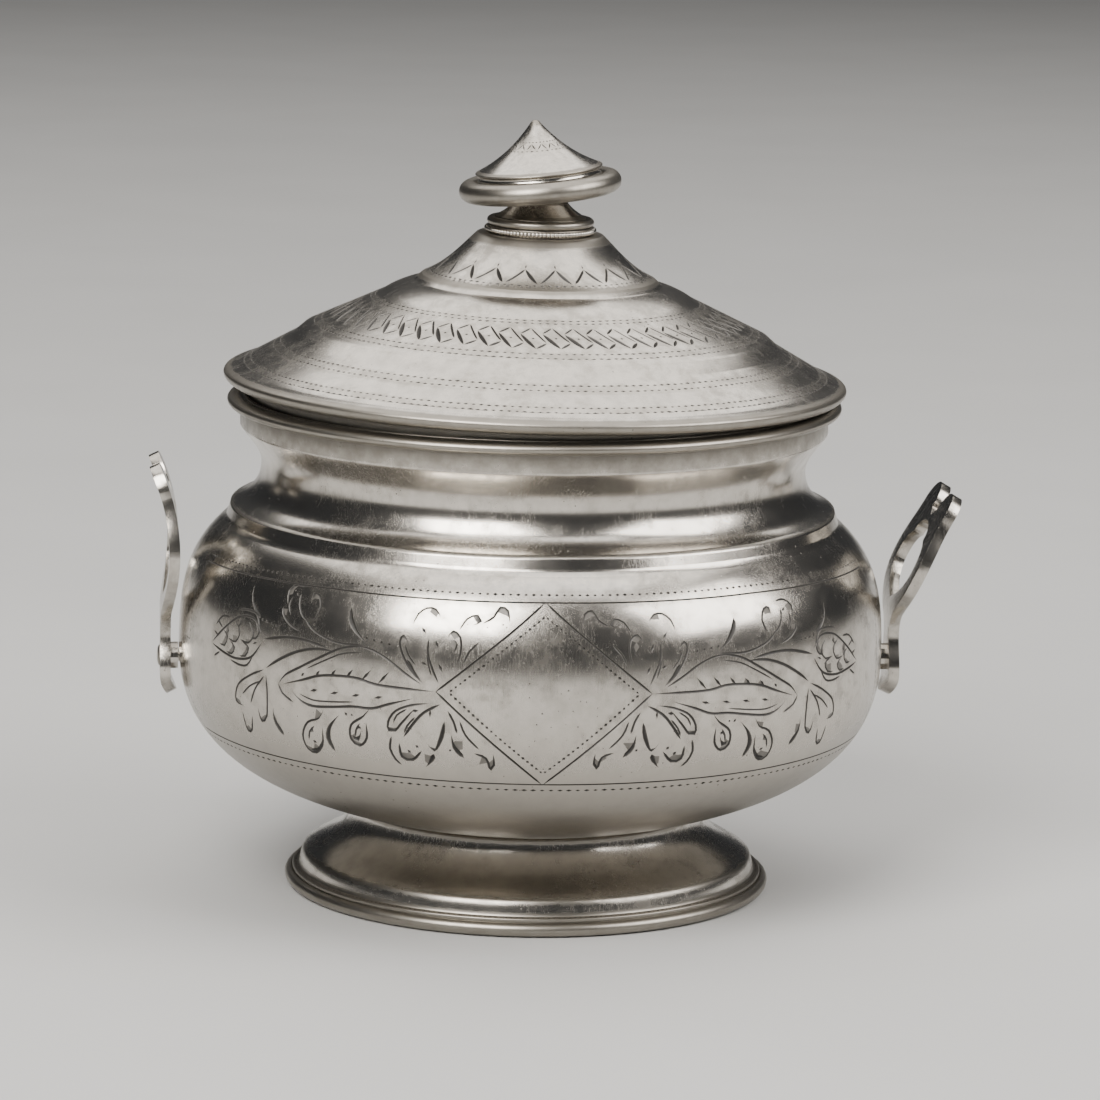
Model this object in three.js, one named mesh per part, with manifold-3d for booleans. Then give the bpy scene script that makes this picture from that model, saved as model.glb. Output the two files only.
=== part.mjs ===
// Silver sugar bowl with a lift-off lid: a spun belly on a flared foot, a waisted neck,
// two pierced strap handles riveted to the belly, and a stepped lid with a turned finial.
// Millimetres, +Z up. The origin is on the table, midway between the two handle tips.
import * as THREE from 'three';
import { mergeVertices } from 'three/addons/utils/BufferGeometryUtils.js';
import Module from 'manifold-3d';

const wasm = await Module();
wasm.setup();

// ---- Driving dimensions ----

const wall = 1.0;                // sheet thickness of the bowl, foot and lid
const looseGap = 0.3;            // air left where a piece is tilted or only rests
const fitGap = 0.1;              // running room round rivets and the finial stud

const footHeight = 14.3;         // floor to the joint with the belly
const footNeckRadius = 30.0;     // waist of the foot, soldered to the belly
const footStepRadius = 38.4;     // edge of the flare above the flange
const footStepHeight = 5.6;      // height of that edge
const footRadius = 40.2;         // flat flange of the foot
const footFlangeHeight = 3.1;    // height of the flange's upper face
const footWireProud = 1.3;       // how far the foot wire stands out of the flange
const footWireHeight = 2.4;
const footWireLift = 0.1;        // the flange's edge carries the bowl, not the wire

const bodyRadius = 60.0;         // widest part of the belly
const bellyRise = 27.0;          // foot joint up to the widest part
const bottomSag = 0.7;           // the bowl's bottom hangs below the joint
const solderWidth = 1.4;         // flat ring where the foot is soldered on
const shoulderRise = 22.3;       // widest part up to the crease of the ledge
const shoulderInset = 7.95;      // crease of the ledge, in from the belly's widest part
const ledgeStep = 2.3;           // height of the small upright ledge
const ledgeInset = 0.7;          // the ledge's top stands in from the crease
const neckInset = 13.8;          // narrowest part of the neck, in from the belly's widest part
const neckRise = 6.9;            // ledge top up to the narrowest part of the neck
const flareRise = 6.6;           // narrowest part up to the straight lip
const mouthFlare = 3.7;          // straight lip at the mouth, out from the neck
const lipHeight = 5.2;
const mouthWireProud = 2.2;
const mouthWireHeight = 2.3;

const lidTilt = 0.9;             // degrees that the worn lid sits askew, right side down
const bezelGap = 0.6;            // lid bezel to the inside of the lip
const bezelWall = 0.8;
const lidOverhang = 0.7;         // lid edge beyond the mouth wire
const lidRimWidth = 2.6;         // rounded edge of the lid
const lidUndercut = 2.0;         // the seat stands in below the widest edge
const lidRimRise = 1.6;          // seat up to the widest edge
const lidRimCrown = 1.4;         // widest edge up to the outer band
const lidFlangeWidth = 3.4;      // seat ring turned in under the lid
const outerBandRise = 5.05;      // outer band up to the foot of the small step
const outerBandWidth = 8.9;      // outer band in to the foot of the small step
const stepWidth = 1.9;
const stepRise = 1.65;
const patternBandRise = 6.05;    // band with the lozenge border
const rollRadius = 26.5;         // foot of the rounded roll
const rollWidth = 5.5;
const rollRise = 2.3;
const collarStepWidth = 1.2;
const collarStepRise = 1.1;
const cupolaRise = 7.35;         // hollow cone under the finial
const crownRadius = 10.6;        // flat crown that carries the finial

const beadRadius = 9.5;          // milled ring between crown and finial
const beadHeight = 1.3;
const collarRadius = 9.05;
const collarHeight = 1.4;
const stemRadius = 7.8;          // foot of the finial's stem
const stemTopRadius = 4.2;
const stemHeight = 3.0;
const headTilt = 6.5;            // degrees that the bent finial head leans to the left
const dishLift = 0.85;           // dish above the stem, room for its tilt
const dishHubRadius = 5.2;
const dishRadius = 9.7;
const dishHeight = 1.8;
const ringHeight = 2.3;          // centre of the round ring above the stem
const ringGap = 0.35;            // round ring to the cap's skirt
const ringWireRadius = 1.8;
const capOverhang = 0.95;        // cap's lip beyond its skirt
const capLipThickness = 0.35;
const capHeight = 8.2;           // lip up to the pointed tip
const capTipRadius = 0.9;
const skirtDepth = 2.3;
const capWall = 0.9;

const studRadius = 1.5;          // threaded stud through the lid's crown
const studReach = 5.2;           // stud above the crown
const washerRadius = 4.8;
const washerThickness = 0.8;
const nutAcrossFlats = 6.0;
const nutHeight = 2.4;
const studTail = 1.0;            // stud beyond the nut

const strapThickness = 1.8;
const shankProud = 3.2;          // outer face of the upright shank beyond the belly
const strapDrop = 8.5;           // the strap's foot below the belly's widest part
const bendRise = 5.7;            // above the widest part the shank ends and the bow starts
const strapLength = 24.5;        // bow above the bend, before it is bent
const padTurnIn = 1.3;           // the strap's foot curves in to follow the belly
const padTurnHeight = 3.7;
const padHalfWidth = 4.6;        // rounded pad at the foot of the strap
const padRise = 4.8;             // strap's foot up to the pad's widest part
const shankHalfWidth = 2.9;
const shankRise = 10.8;          // strap's foot up to the shank's narrowest part
const bowHalfWidth = 12.4;       // widest part of the pierced bow
const bowRise = 10.0;            // bend up to the bow's widest part
const lobeRadius = 4.1;          // two lobes at the top of the bow
const lobeSpacing = 12.2;
const lobeNotch = 1.3;           // notch between the lobes, below their centres
const eyeHalfWidth = 8.7;        // pierced opening
const eyeBottomRise = 2.8;       // heights of the opening above the bend
const eyeMiddleRise = 9.6;
const eyeCuspHalfWidth = 4.8;    // cusps that pinch the opening near its top
const eyeCuspRise = 14.8;
const eyeTopRise = 18.0;
const rightBow = {
  lean: 9.5,                     // tip beyond the shank
  rise: 20.9,                    // tip above the bend
  swayOut: 4.0,
  swayDown: 9.3,
};
const leftBow = { lean: 2.0, rise: 25.8, swayOut: -4.1, swayDown: 12.3 };

const rivetDrop = 1.9;           // rivets below the belly's widest part
const rivetRadius = 1.1;
const rivetHeadRadius = 1.8;
const rivetHeadHeight = 0.5;
const bossRadius = 2.3;

const bowlFacets = 40;           // facets round the large turned pieces
const finialFacets = 24;

// ---- Heights and sizes that follow ----

const bellyHeight = footHeight + bellyRise;
const creaseHeight = bellyHeight + shoulderRise;
const ledgeHeight = creaseHeight + ledgeStep;
const neckHeight = ledgeHeight + neckRise;
const lipBottom = neckHeight + flareRise;
const mouthTop = lipBottom + lipHeight;
const ledgeRadius = bodyRadius - shoulderInset;
const neckRadius = bodyRadius - neckInset;
const mouthRadius = neckRadius + mouthFlare;
const mouthWireRadius = mouthRadius + mouthWireProud;
const tilt = THREE.MathUtils.degToRad(lidTilt);
const seatHeight = mouthTop + looseGap + mouthWireRadius * Math.sin(tilt);
const lidRadius = mouthWireRadius + lidOverhang;
const seatRadius = lidRadius - lidUndercut;
const lipInside = mouthRadius - wall;
const bezelRadius = lipInside - bezelGap;
const bezelDepth = lipHeight;
const cupolaRadius = rollRadius - rollWidth - collarStepWidth;
const bandRadius = lidRadius - lidRimWidth;
const stepRadius = bandRadius - outerBandWidth;
const crownHeight = lidRimRise + lidRimCrown + outerBandRise + stepRise + patternBandRise
  + rollRise + collarStepRise + cupolaRise;
const collarFoot = crownHeight + beadHeight;
const stemFoot = collarFoot + collarHeight;
const stemTop = stemFoot + stemHeight;
const skirtRadius = dishRadius + fitGap;
const capRadius = skirtRadius + capOverhang;
const ringRadius = skirtRadius + ringGap + ringWireRadius;
const shankReach = bodyRadius + shankProud;
const rivetHeight = bellyHeight - rivetDrop;
const strapBottom = bellyHeight - strapDrop;
const strapBend = bellyHeight + bendRise;
const padMiddle = strapBottom + padRise;
const shankMiddle = strapBottom + shankRise;
const bowMiddle = strapBend + bowRise;
const eyeBottom = strapBend + eyeBottomRise;
const eyeMiddle = strapBend + eyeMiddleRise;
const eyeCusp = strapBend + eyeCuspRise;
const eyeTop = strapBend + eyeTopRise;
const axisX = (leftBow.lean - rightBow.lean) / 2;

// ---- Helpers ----

const at = (x, y) => new THREE.Vector2(x, y);

// Points along a cubic curve, without its first point.
function curve(from, pullA, pullB, to, steps) {
  return new THREE.CubicBezierCurve(from, pullA, pullB, to).getPoints(steps).slice(1);
}

// Points round an arc, from one angle to another.
function arc(centre, radius, fromAngle, toAngle, steps) {
  const turnBy = (toAngle - fromAngle) / steps;
  return Array.from({ length: steps + 1 }, (_, i) => {
    const angle = fromAngle + i * turnBy;
    return at(centre.x + radius * Math.cos(angle), centre.y + radius * Math.sin(angle));
  });
}

// An open outline moved to its left by a wall thickness, never past the axis.
function inset(points, thickness) {
  return points.map((point, i) => {
    const before = points[Math.max(i - 1, 0)];
    const after = points[Math.min(i + 1, points.length - 1)];
    const along = after.clone().sub(before).normalize();
    const radius = point.x === 0 ? 0 : Math.max(point.x - along.y * thickness, 0);
    return at(radius, point.y + along.x * thickness);
  });
}

function volume(geometry) {
  const position = geometry.getAttribute('position');
  const [a, b, c] = [new THREE.Vector3(), new THREE.Vector3(), new THREE.Vector3()];
  let sum = 0;
  for (let i = 0; i < geometry.index.count; i += 3) {
    a.fromBufferAttribute(position, geometry.index.getX(i));
    b.fromBufferAttribute(position, geometry.index.getX(i + 1));
    c.fromBufferAttribute(position, geometry.index.getX(i + 2));
    sum += a.dot(b.cross(c));
  }
  return sum / 6;
}

// Welds a closed surface, drops empty triangles and turns its faces outwards.
function weld(source) {
  const bare = source.clone();
  bare.deleteAttribute('normal');
  bare.deleteAttribute('uv');
  const geometry = mergeVertices(bare);
  const corners = geometry.index.array;
  const kept = [];
  for (let i = 0; i < corners.length; i += 3) {
    const [a, b, c] = corners.slice(i, i + 3);
    if (a !== b && b !== c && c !== a) {
      kept.push(a, b, c);
    }
  }
  geometry.setIndex(kept);
  if (volume(geometry) < 0) {
    geometry.setIndex(kept.reverse());
  }
  return geometry;
}

// A turned solid about +Z: the outline is (radius, height) and is closed here.
function turned(outline, facets) {
  const lathe = new THREE.LatheGeometry([...outline, outline[0].clone()], facets);
  return weld(lathe.rotateX(Math.PI / 2));
}

function toManifold(geometry) {
  return new wasm.Manifold(new wasm.Mesh({
    numProp: 3,
    vertProperties: geometry.getAttribute('position').array,
    triVerts: Uint32Array.from(geometry.index.array),
  }));
}

function fromManifold(solid) {
  const mesh = solid.getMesh();
  const geometry = new THREE.BufferGeometry();
  geometry.setAttribute('position', new THREE.BufferAttribute(mesh.vertProperties, 3));
  geometry.setIndex(new THREE.BufferAttribute(mesh.triVerts, 1));
  return geometry;
}

function cut(geometry, ...tools) {
  const whole = toManifold(geometry);
  return fromManifold(tools.reduce((rest, tool) => rest.subtract(toManifold(tool)), whole));
}

// A turned solid about an axis along +X at the rivets' height; its outline is (radius, reach).
function turnedAlongX(outline, facets) {
  return turned(outline, facets).rotateY(Math.PI / 2).translate(0, 0, rivetHeight);
}

// A round bar along X from one place to another, at the rivets' height.
function barAlongX(radius, fromX, toX, facets) {
  return turnedAlongX([at(0, fromX), at(radius, fromX), at(radius, toX), at(0, toX)], facets);
}

// Radius of an outline at a height, on its way up.
function radiusAt(outline, height) {
  const i = outline.findIndex((point, k) => k > 0 && point.y >= height && outline[k - 1].y < height);
  const [low, high] = [outline[i - 1], outline[i]];
  return low.x + (high.x - low.x) * (height - low.y) / (high.y - low.y);
}

// A half-round wire with a flat back on a cylinder.
function halfRound(backRadius, proud, bottom, height) {
  const steps = 6;
  return Array.from({ length: steps + 1 }, (_, i) => {
    const angle = -Math.PI / 2 + i * Math.PI / steps;
    const lift = bottom + height / 2 + Math.sin(angle) * height / 2;
    return at(backRadius + proud * Math.cos(angle), lift);
  });
}

// ---- Bowl, foot and their wires ----

// Outer face of the bowl, from the middle of its bottom up to the mouth.
function bowlOutline() {
  const joint = at(footNeckRadius, footHeight);
  const widest = at(bodyRadius, bellyHeight);
  const crease = at(ledgeRadius, creaseHeight);
  const ledge = at(ledgeRadius - ledgeInset, ledgeHeight);
  const narrowest = at(neckRadius, neckHeight);
  const lip = at(mouthRadius, lipBottom);
  return [
    at(0, footHeight - bottomSag),
    at(footNeckRadius - solderWidth, footHeight),
    joint,
    ...curve(joint, at(footNeckRadius + 19.0, footHeight + 4.6),
      at(bodyRadius, bellyHeight - 15.2), widest, 8),
    ...curve(widest, at(bodyRadius, bellyHeight + 10.4),
      at(ledgeRadius + 6.9, creaseHeight - 5.6), crease, 7),
    ledge,
    ...curve(ledge, at(neckRadius + 1.6, ledgeHeight + 1.2),
      at(neckRadius, neckHeight - 3.0), narrowest, 4),
    ...curve(narrowest, at(neckRadius, neckHeight + 2.6),
      at(mouthRadius - 1.2, lipBottom - 1.8), lip, 3),
    at(mouthRadius, mouthTop),
  ];
}

function bowlShell() {
  const outside = bowlOutline();
  const inside = inset(outside, wall);
  inside.at(-1).y = mouthTop;
  const holes = barAlongX(rivetRadius + fitGap, -2 * bodyRadius, 2 * bodyRadius, 16);
  const core = turned([at(0, footHeight + wall), at(neckRadius / 2, footHeight + wall),
    at(neckRadius / 2, mouthTop), at(0, mouthTop)], 8);
  const drill = cut(holes, core);
  return cut(turned([...outside, ...inside.reverse()], bowlFacets), drill);
}

// Outer face of the foot, from the flange's edge up to the joint.
function footOutline() {
  const step = at(footStepRadius, footStepHeight);
  const joint = at(footNeckRadius, footHeight);
  return [
    at(footRadius, 0),
    at(footRadius, footFlangeHeight),
    at(footStepRadius + 0.8, footFlangeHeight),
    at(footStepRadius + 0.3, footStepHeight - 1.1),
    step,
    ...curve(step, at(footStepRadius - 1.6, footStepHeight + 1.7),
      at(footNeckRadius, footHeight - 5.6), joint, 7),
  ];
}

function foot() {
  const outside = footOutline();
  const inside = inset(outside, wall);
  inside[0] = at(footRadius - wall, 0);
  inside.at(-1).set(footNeckRadius - wall, footHeight);
  return turned([...outside, ...inside.reverse()], bowlFacets);
}

function mouthWire() {
  const low = mouthTop - mouthWireHeight;
  return turned(halfRound(mouthRadius, mouthWireProud, low, mouthWireHeight), bowlFacets);
}

function footWire() {
  return turned(halfRound(footRadius, footWireProud, footWireLift, footWireHeight), bowlFacets);
}

// ---- Lid ----

// The lid is turned about its own axis, with height 0 at its seat.
function lidOutline() {
  const bandFoot = at(bandRadius, lidRimRise + lidRimCrown);
  const stepFoot = at(stepRadius, bandFoot.y + outerBandRise);
  const stepTop = at(stepRadius - stepWidth, stepFoot.y + stepRise);
  const rollFoot = at(rollRadius, stepTop.y + patternBandRise);
  const rollTop = at(rollRadius - rollWidth, rollFoot.y + rollRise);
  const cupolaFoot = at(cupolaRadius, rollTop.y + collarStepRise);
  const cupolaWidth = cupolaRadius - crownRadius;
  const crown = at(crownRadius, crownHeight);
  return [
    at(seatRadius - lidFlangeWidth, 0),
    at(seatRadius, 0),
    at(lidRadius - 0.5, lidRimRise - 0.7),
    at(lidRadius, lidRimRise),
    at(lidRadius - 0.7, lidRimRise + 0.7),
    bandFoot,
    stepFoot,
    stepTop,
    rollFoot,
    ...curve(rollFoot, at(rollRadius - 1.2, rollFoot.y + 0.95),
      at(rollTop.x + 1.8, rollTop.y - 0.25), rollTop, 3),
    cupolaFoot,
    ...curve(cupolaFoot, at(cupolaRadius - 0.48 * cupolaWidth, cupolaFoot.y + 0.26 * cupolaRise),
      at(crownRadius + 0.26 * cupolaWidth, crownHeight - 0.3 * cupolaRise), crown, 5),
    at(studRadius + fitGap, crownHeight),
  ];
}

function lidShell() {
  const outside = lidOutline();
  const rimPoints = 5;
  const inside = inset(outside.slice(rimPoints), wall);
  inside.at(-1).x = studRadius + fitGap;
  const flangeTop = [at(seatRadius - lidFlangeWidth, wall), at(inside[0].x, wall)];
  return turned([...outside, ...inside.reverse(), ...flangeTop.reverse()], bowlFacets);
}

function lidBezel() {
  const outline = [at(bezelRadius - bezelWall, -bezelDepth), at(bezelRadius, -bezelDepth),
    at(bezelRadius, 0), at(bezelRadius - bezelWall, 0)];
  return turned(outline, bowlFacets);
}

// ---- Finial ----

const studHole = studRadius + fitGap;

function finialBeadRing() {
  const rim = arc(at(beadRadius - beadHeight / 2, crownHeight + beadHeight / 2), beadHeight / 2,
    -Math.PI / 2, Math.PI / 2, 4);
  return turned([at(studHole, crownHeight), ...rim, at(studHole, collarFoot)], finialFacets);
}

function finialCollar() {
  const edge = collarHeight / 2;
  const rim = arc(at(collarRadius - edge, collarFoot + edge), edge, -Math.PI / 2, Math.PI / 2, 4);
  return turned([at(studHole, collarFoot), ...rim, at(studHole, stemFoot)], finialFacets);
}

// The stem has a blind hole for the stud.
function finialStem() {
  const foot = at(stemRadius, stemFoot);
  const top = at(stemTopRadius, stemTop);
  const holeTop = crownHeight + studReach + looseGap;
  return turned([
    foot,
    ...curve(foot, at(stemRadius - 1.2, stemFoot + 0.7), at(stemTopRadius + 0.9, stemTop - 1.5), top, 4),
    at(0, stemTop),
    at(0, holeTop),
    at(studHole, holeTop),
    at(studHole, stemFoot),
  ], finialFacets);
}

// The finial's head is turned about its own axis, with height 0 at the stem's top.
function finialDish() {
  const top = dishLift + dishHeight;
  const rim = at(dishRadius, top - 0.4);
  return turned([
    at(0, dishLift),
    at(dishHubRadius, dishLift),
    ...curve(at(dishHubRadius, dishLift), at(dishHubRadius + 1.5, dishLift + 0.3),
      at(dishRadius - 1.2, top - 1.0), rim, 3),
    at(dishRadius, top),
    at(0, top),
  ], finialFacets);
}

function finialRing() {
  const section = arc(at(ringRadius, ringHeight), ringWireRadius, 0, 2 * Math.PI, 12).slice(1);
  return turned(section, finialFacets);
}

function finialCap() {
  const lip = dishLift + dishHeight + looseGap + skirtDepth;
  const tip = lip + capHeight;
  const outside = [
    at(skirtRadius, lip - skirtDepth),
    at(skirtRadius, lip - capLipThickness),
    at(capRadius, lip - capLipThickness),
    at(capRadius, lip),
    ...curve(at(capRadius, lip), at(capRadius * 0.62, lip + capHeight * 0.2),
      at(capRadius * 0.33, lip + capHeight * 0.52), at(capTipRadius, tip - capTipRadius * 0.7), 6),
    at(0, tip),
  ];
  const inside = [
    at(0, tip - 4 * capWall),
    at(capRadius * 0.42, lip + capHeight * 0.14),
    at(skirtRadius - capWall, lip - capLipThickness - capWall / 2),
    at(skirtRadius - capWall, lip - skirtDepth),
  ];
  return turned([...outside, ...inside], finialFacets);
}

function finialStud() {
  const bottom = crownHeight - wall - washerThickness - nutHeight - studTail;
  const top = crownHeight + studReach;
  return turned([at(0, bottom), at(studRadius, bottom), at(studRadius, top), at(0, top)], 12);
}

function finialWasher() {
  const top = crownHeight - wall;
  const bottom = top - washerThickness;
  return turned([
    at(studHole, bottom),
    at(washerRadius, bottom),
    at(washerRadius, top),
    at(studHole, top),
  ], 16);
}

function finialNut() {
  const corner = nutAcrossFlats / Math.sqrt(3);
  const top = crownHeight - wall - washerThickness;
  const bottom = top - nutHeight;
  const body = turned([at(0, bottom), at(corner, bottom), at(corner, top), at(0, top)], 6);
  const bore = turned([
    at(0, bottom - 1),
    at(studHole, bottom - 1),
    at(studHole, top + 1),
    at(0, top + 1),
  ], 12);
  return cut(body, bore);
}

// ---- Handles ----

// Front view of the strap as (across, height), before it is bent; half of it.
function halfStrap() {
  const foot = at(0, strapBottom);
  const pad = at(padHalfWidth, padMiddle);
  const shank = at(shankHalfWidth, shankMiddle);
  const bow = at(bowHalfWidth, bowMiddle);
  const lobe = at(lobeSpacing / 2, strapBend + strapLength - lobeRadius);
  const shoulder = at(lobe.x + lobeRadius, lobe.y);
  return [
    foot,
    ...curve(foot, at(padHalfWidth * 0.55, strapBottom), at(padHalfWidth, padMiddle - 2.6), pad, 4),
    ...curve(pad, at(padHalfWidth, padMiddle + 3.0), at(shankHalfWidth, shankMiddle - 2.8), shank, 4),
    ...curve(shank, at(shankHalfWidth, shankMiddle + 4.4), at(bowHalfWidth, bowMiddle - 7.4), bow, 7),
    ...curve(bow, at(bowHalfWidth, bowMiddle + 4.6), at(shoulder.x, shoulder.y - 3.6), shoulder, 4),
    ...arc(lobe, lobeRadius, 0, Math.PI, 8).slice(1),
    at(0, lobe.y - lobeNotch),
  ];
}

// Half of the pierced opening, as (across, height).
function halfEye() {
  const bottom = at(0, eyeBottom);
  const side = at(eyeHalfWidth, eyeMiddle);
  const cusp = at(eyeCuspHalfWidth, eyeCusp);
  const top = at(0, eyeTop);
  return [
    bottom,
    ...curve(bottom, at(2.4, eyeBottom + 0.9), at(eyeHalfWidth, eyeMiddle - 4.0), side, 5),
    ...curve(side, at(eyeHalfWidth, eyeMiddle + 2.6), at(eyeCuspHalfWidth + 2.6, eyeCusp - 0.6), cusp, 4),
    ...curve(cusp, at(eyeCuspHalfWidth + 0.4, eyeCusp + 1.8), at(2.4, eyeTop), top, 4),
  ];
}

// Bending shortens or lengthens the part above the bend.
function bentHeight(height, bow) {
  const stretch = bow.rise / strapLength;
  return height < strapBend ? height : strapBend + (height - strapBend) * stretch;
}

// A solid along X whose section is a half outline and its mirror image.
function punch(half, bow, fromX, toX) {
  const mirrored = half.slice(1).reverse().filter((point) => point.x > 0);
  const whole = [...half, ...mirrored.map((point) => at(-point.x, point.y))];
  const shape = new THREE.Shape(whole.map((point) => at(point.x, bentHeight(point.y, bow))));
  const block = new THREE.ExtrudeGeometry(shape, { depth: toX - fromX, bevelEnabled: false });
  const turnToX = new THREE.Matrix4().makeBasis(
    new THREE.Vector3(0, 1, 0), new THREE.Vector3(0, 0, 1), new THREE.Vector3(1, 0, 0));
  return weld(block.applyMatrix4(turnToX).translate(fromX, 0, 0));
}

// Side view of the strap as (reach, height): its outer face, then its inner face.
function strapSection(bow) {
  const foot = at(shankReach - padTurnIn, strapBottom);
  const padEnd = at(shankReach, strapBottom + padTurnHeight);
  const bend = at(shankReach, strapBend);
  const tip = at(shankReach + bow.lean, strapBend + bow.rise);
  const sway = at(shankReach + bow.swayOut, tip.y - bow.swayDown);
  const outer = [
    foot,
    ...curve(foot, at(foot.x + 0.5, foot.y + 1.0), at(padEnd.x, padEnd.y - 1.6), padEnd, 3),
    bend,
    ...curve(bend, at(shankReach, strapBend + 3.5), sway, tip, 7),
  ];
  const beyond = tip.clone().add(tip.clone().sub(outer.at(-2)));
  outer.push(beyond);
  outer.unshift(at(foot.x - 0.5, foot.y - 1.0));
  const inner = inset(outer, strapThickness);
  return [...outer, ...inner.reverse()];
}

function rightStrap(bow) {
  const width = 4 * bowHalfWidth;
  const shape = new THREE.Shape(strapSection(bow));
  const block = new THREE.ExtrudeGeometry(shape, { depth: width, bevelEnabled: false });
  const bar = weld(block.rotateX(Math.PI / 2).translate(0, width / 2, 0));
  const farX = 2 * shankReach + bow.lean;
  const outline = toManifold(punch(halfStrap(), bow, 0, farX));
  const eye = toManifold(punch(halfEye(), bow, 0, farX));
  const hole = toManifold(barAlongX(rivetRadius + fitGap, 0, farX, 12));
  return fromManifold(toManifold(bar).intersect(outline).subtract(eye).subtract(hole));
}

const strapInside = shankReach - strapThickness;
const bellyAtRivet = radiusAt(bowlOutline(), rivetHeight);

function rightBoss() {
  const bore = rivetRadius + fitGap;
  const start = bodyRadius + fitGap;
  return turnedAlongX([
    at(bore, start),
    at(bossRadius, start),
    at(bossRadius, strapInside),
    at(bore, strapInside),
  ], 16);
}

function rightRivet() {
  const flats = Math.cos(Math.PI / bowlFacets);
  const innerFace = bellyAtRivet * flats - wall - looseGap;
  const innerTop = innerFace - rivetHeadHeight;
  const outerTop = shankReach + rivetHeadHeight;
  return turnedAlongX([
    at(0, innerTop),
    at(rivetHeadRadius * 0.7, innerTop),
    at(rivetHeadRadius, innerFace),
    at(rivetRadius, innerFace),
    at(rivetRadius, shankReach),
    at(rivetHeadRadius, shankReach),
    at(rivetHeadRadius * 0.7, outerTop - 0.1),
    at(0, outerTop),
  ], 16);
}

// ---- Assembly ----

const silver = { color: 0xb9b4ab, metalness: 1.0, roughness: 0.28 };
const oldSilver = { color: 0x9a958c, metalness: 1.0, roughness: 0.38 };
const brass = { color: 0xa98f57, metalness: 1.0, roughness: 0.4 };

function mesh(name, geometry, finish) {
  const node = new THREE.Mesh(geometry, new THREE.MeshStandardMaterial(finish));
  node.name = name;
  return node;
}

const bowl = new THREE.Group();
bowl.add(
  mesh('bowl_shell', bowlShell(), silver),
  mesh('mouth_wire', mouthWire(), silver),
  mesh('foot', foot(), silver),
  mesh('foot_wire', footWire(), silver),
);

// The left-hand pieces are the right-hand ones turned half way round the bowl.
for (const [side, bow, half] of [['right', rightBow, 0], ['left', leftBow, Math.PI]]) {
  const fittings = new THREE.Group();
  fittings.rotation.z = half;
  fittings.add(
    mesh(`${side}_handle`, rightStrap(bow), silver),
    mesh(`${side}_handle_boss`, rightBoss(), oldSilver),
    mesh(`${side}_handle_rivet`, rightRivet(), oldSilver),
  );
  bowl.add(fittings);
}

const lid = new THREE.Group();
lid.position.z = seatHeight;
lid.rotation.y = tilt;
lid.add(
  mesh('lid_shell', lidShell(), silver),
  mesh('lid_bezel', lidBezel(), oldSilver),
  mesh('finial_bead_ring', finialBeadRing(), oldSilver),
  mesh('finial_collar', finialCollar(), silver),
  mesh('finial_stem', finialStem(), silver),
  mesh('finial_stud', finialStud(), brass),
  mesh('finial_washer', finialWasher(), brass),
  mesh('finial_nut', finialNut(), brass),
);

const head = new THREE.Group();
head.position.z = stemTop;
head.rotation.y = -THREE.MathUtils.degToRad(headTilt);
head.add(
  mesh('finial_dish', finialDish(), silver),
  mesh('finial_ring', finialRing(), silver),
  mesh('finial_cap', finialCap(), silver),
);
lid.add(head);

const sugarBowl = new THREE.Group();
sugarBowl.position.x = axisX;
sugarBowl.add(bowl, lid);

export default sugarBowl;
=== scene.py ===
import math
import random
import bmesh
import bpy
from mathutils import Matrix, Vector
from mathutils.geometry import delaunay_2d_cdt, interpolate_bezier
from mathutils.kdtree import KDTree


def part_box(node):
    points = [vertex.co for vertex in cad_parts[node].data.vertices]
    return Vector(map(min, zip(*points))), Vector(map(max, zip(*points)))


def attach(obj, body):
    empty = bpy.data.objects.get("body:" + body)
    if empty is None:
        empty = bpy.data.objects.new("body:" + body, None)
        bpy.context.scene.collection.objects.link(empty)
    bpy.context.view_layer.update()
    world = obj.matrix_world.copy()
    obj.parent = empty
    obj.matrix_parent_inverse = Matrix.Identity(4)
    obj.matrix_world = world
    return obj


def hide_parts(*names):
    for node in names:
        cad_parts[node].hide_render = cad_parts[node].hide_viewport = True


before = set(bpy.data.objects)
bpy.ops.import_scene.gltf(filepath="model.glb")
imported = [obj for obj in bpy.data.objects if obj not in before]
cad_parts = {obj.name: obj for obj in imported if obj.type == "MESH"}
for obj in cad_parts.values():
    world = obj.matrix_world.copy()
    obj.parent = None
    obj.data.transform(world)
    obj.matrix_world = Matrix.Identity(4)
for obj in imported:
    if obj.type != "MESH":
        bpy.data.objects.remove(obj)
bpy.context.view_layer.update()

mm = 0.001
fullTurn = 2 * math.pi


def corners(node):
    # lower and upper corner of a node's box, in millimetres
    low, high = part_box(node)
    return [c / mm for c in low], [c / mm for c in high]


# places and main sizes, taken from the frame, in millimetres
footLow, footHigh = corners("foot")
bowlLow, bowlHigh = corners("bowl_shell")
wireLow, wireHigh = corners("mouth_wire")
axisX = (footLow[0] + footHigh[0]) / 2
bellyRadius = (bowlHigh[1] - bowlLow[1]) / 2
footTop = footHigh[2]
mouthTop = bowlHigh[2]
wireRadius = (wireHigh[1] - wireLow[1]) / 2
wall = 1.0

lidSet = {"tilt": 0.9, "gap": 0.3, "headTilt": 6.5, "stemTop": 32.2}
lidTilt = math.radians(lidSet["tilt"])
seatHeight = mouthTop + lidSet["gap"] + wireRadius * math.sin(lidTilt)
bowlPlace = Matrix.Translation((axisX * mm, 0, 0))
lidPlace = Matrix.Translation((axisX * mm, 0, seatHeight * mm)) @ Matrix.Rotation(lidTilt, 4, "Y")
headPlace = (lidPlace @ Matrix.Translation((0, 0, lidSet["stemTop"] * mm))
             @ Matrix.Rotation(-math.radians(lidSet["headTilt"]), 4, "Y"))


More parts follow.
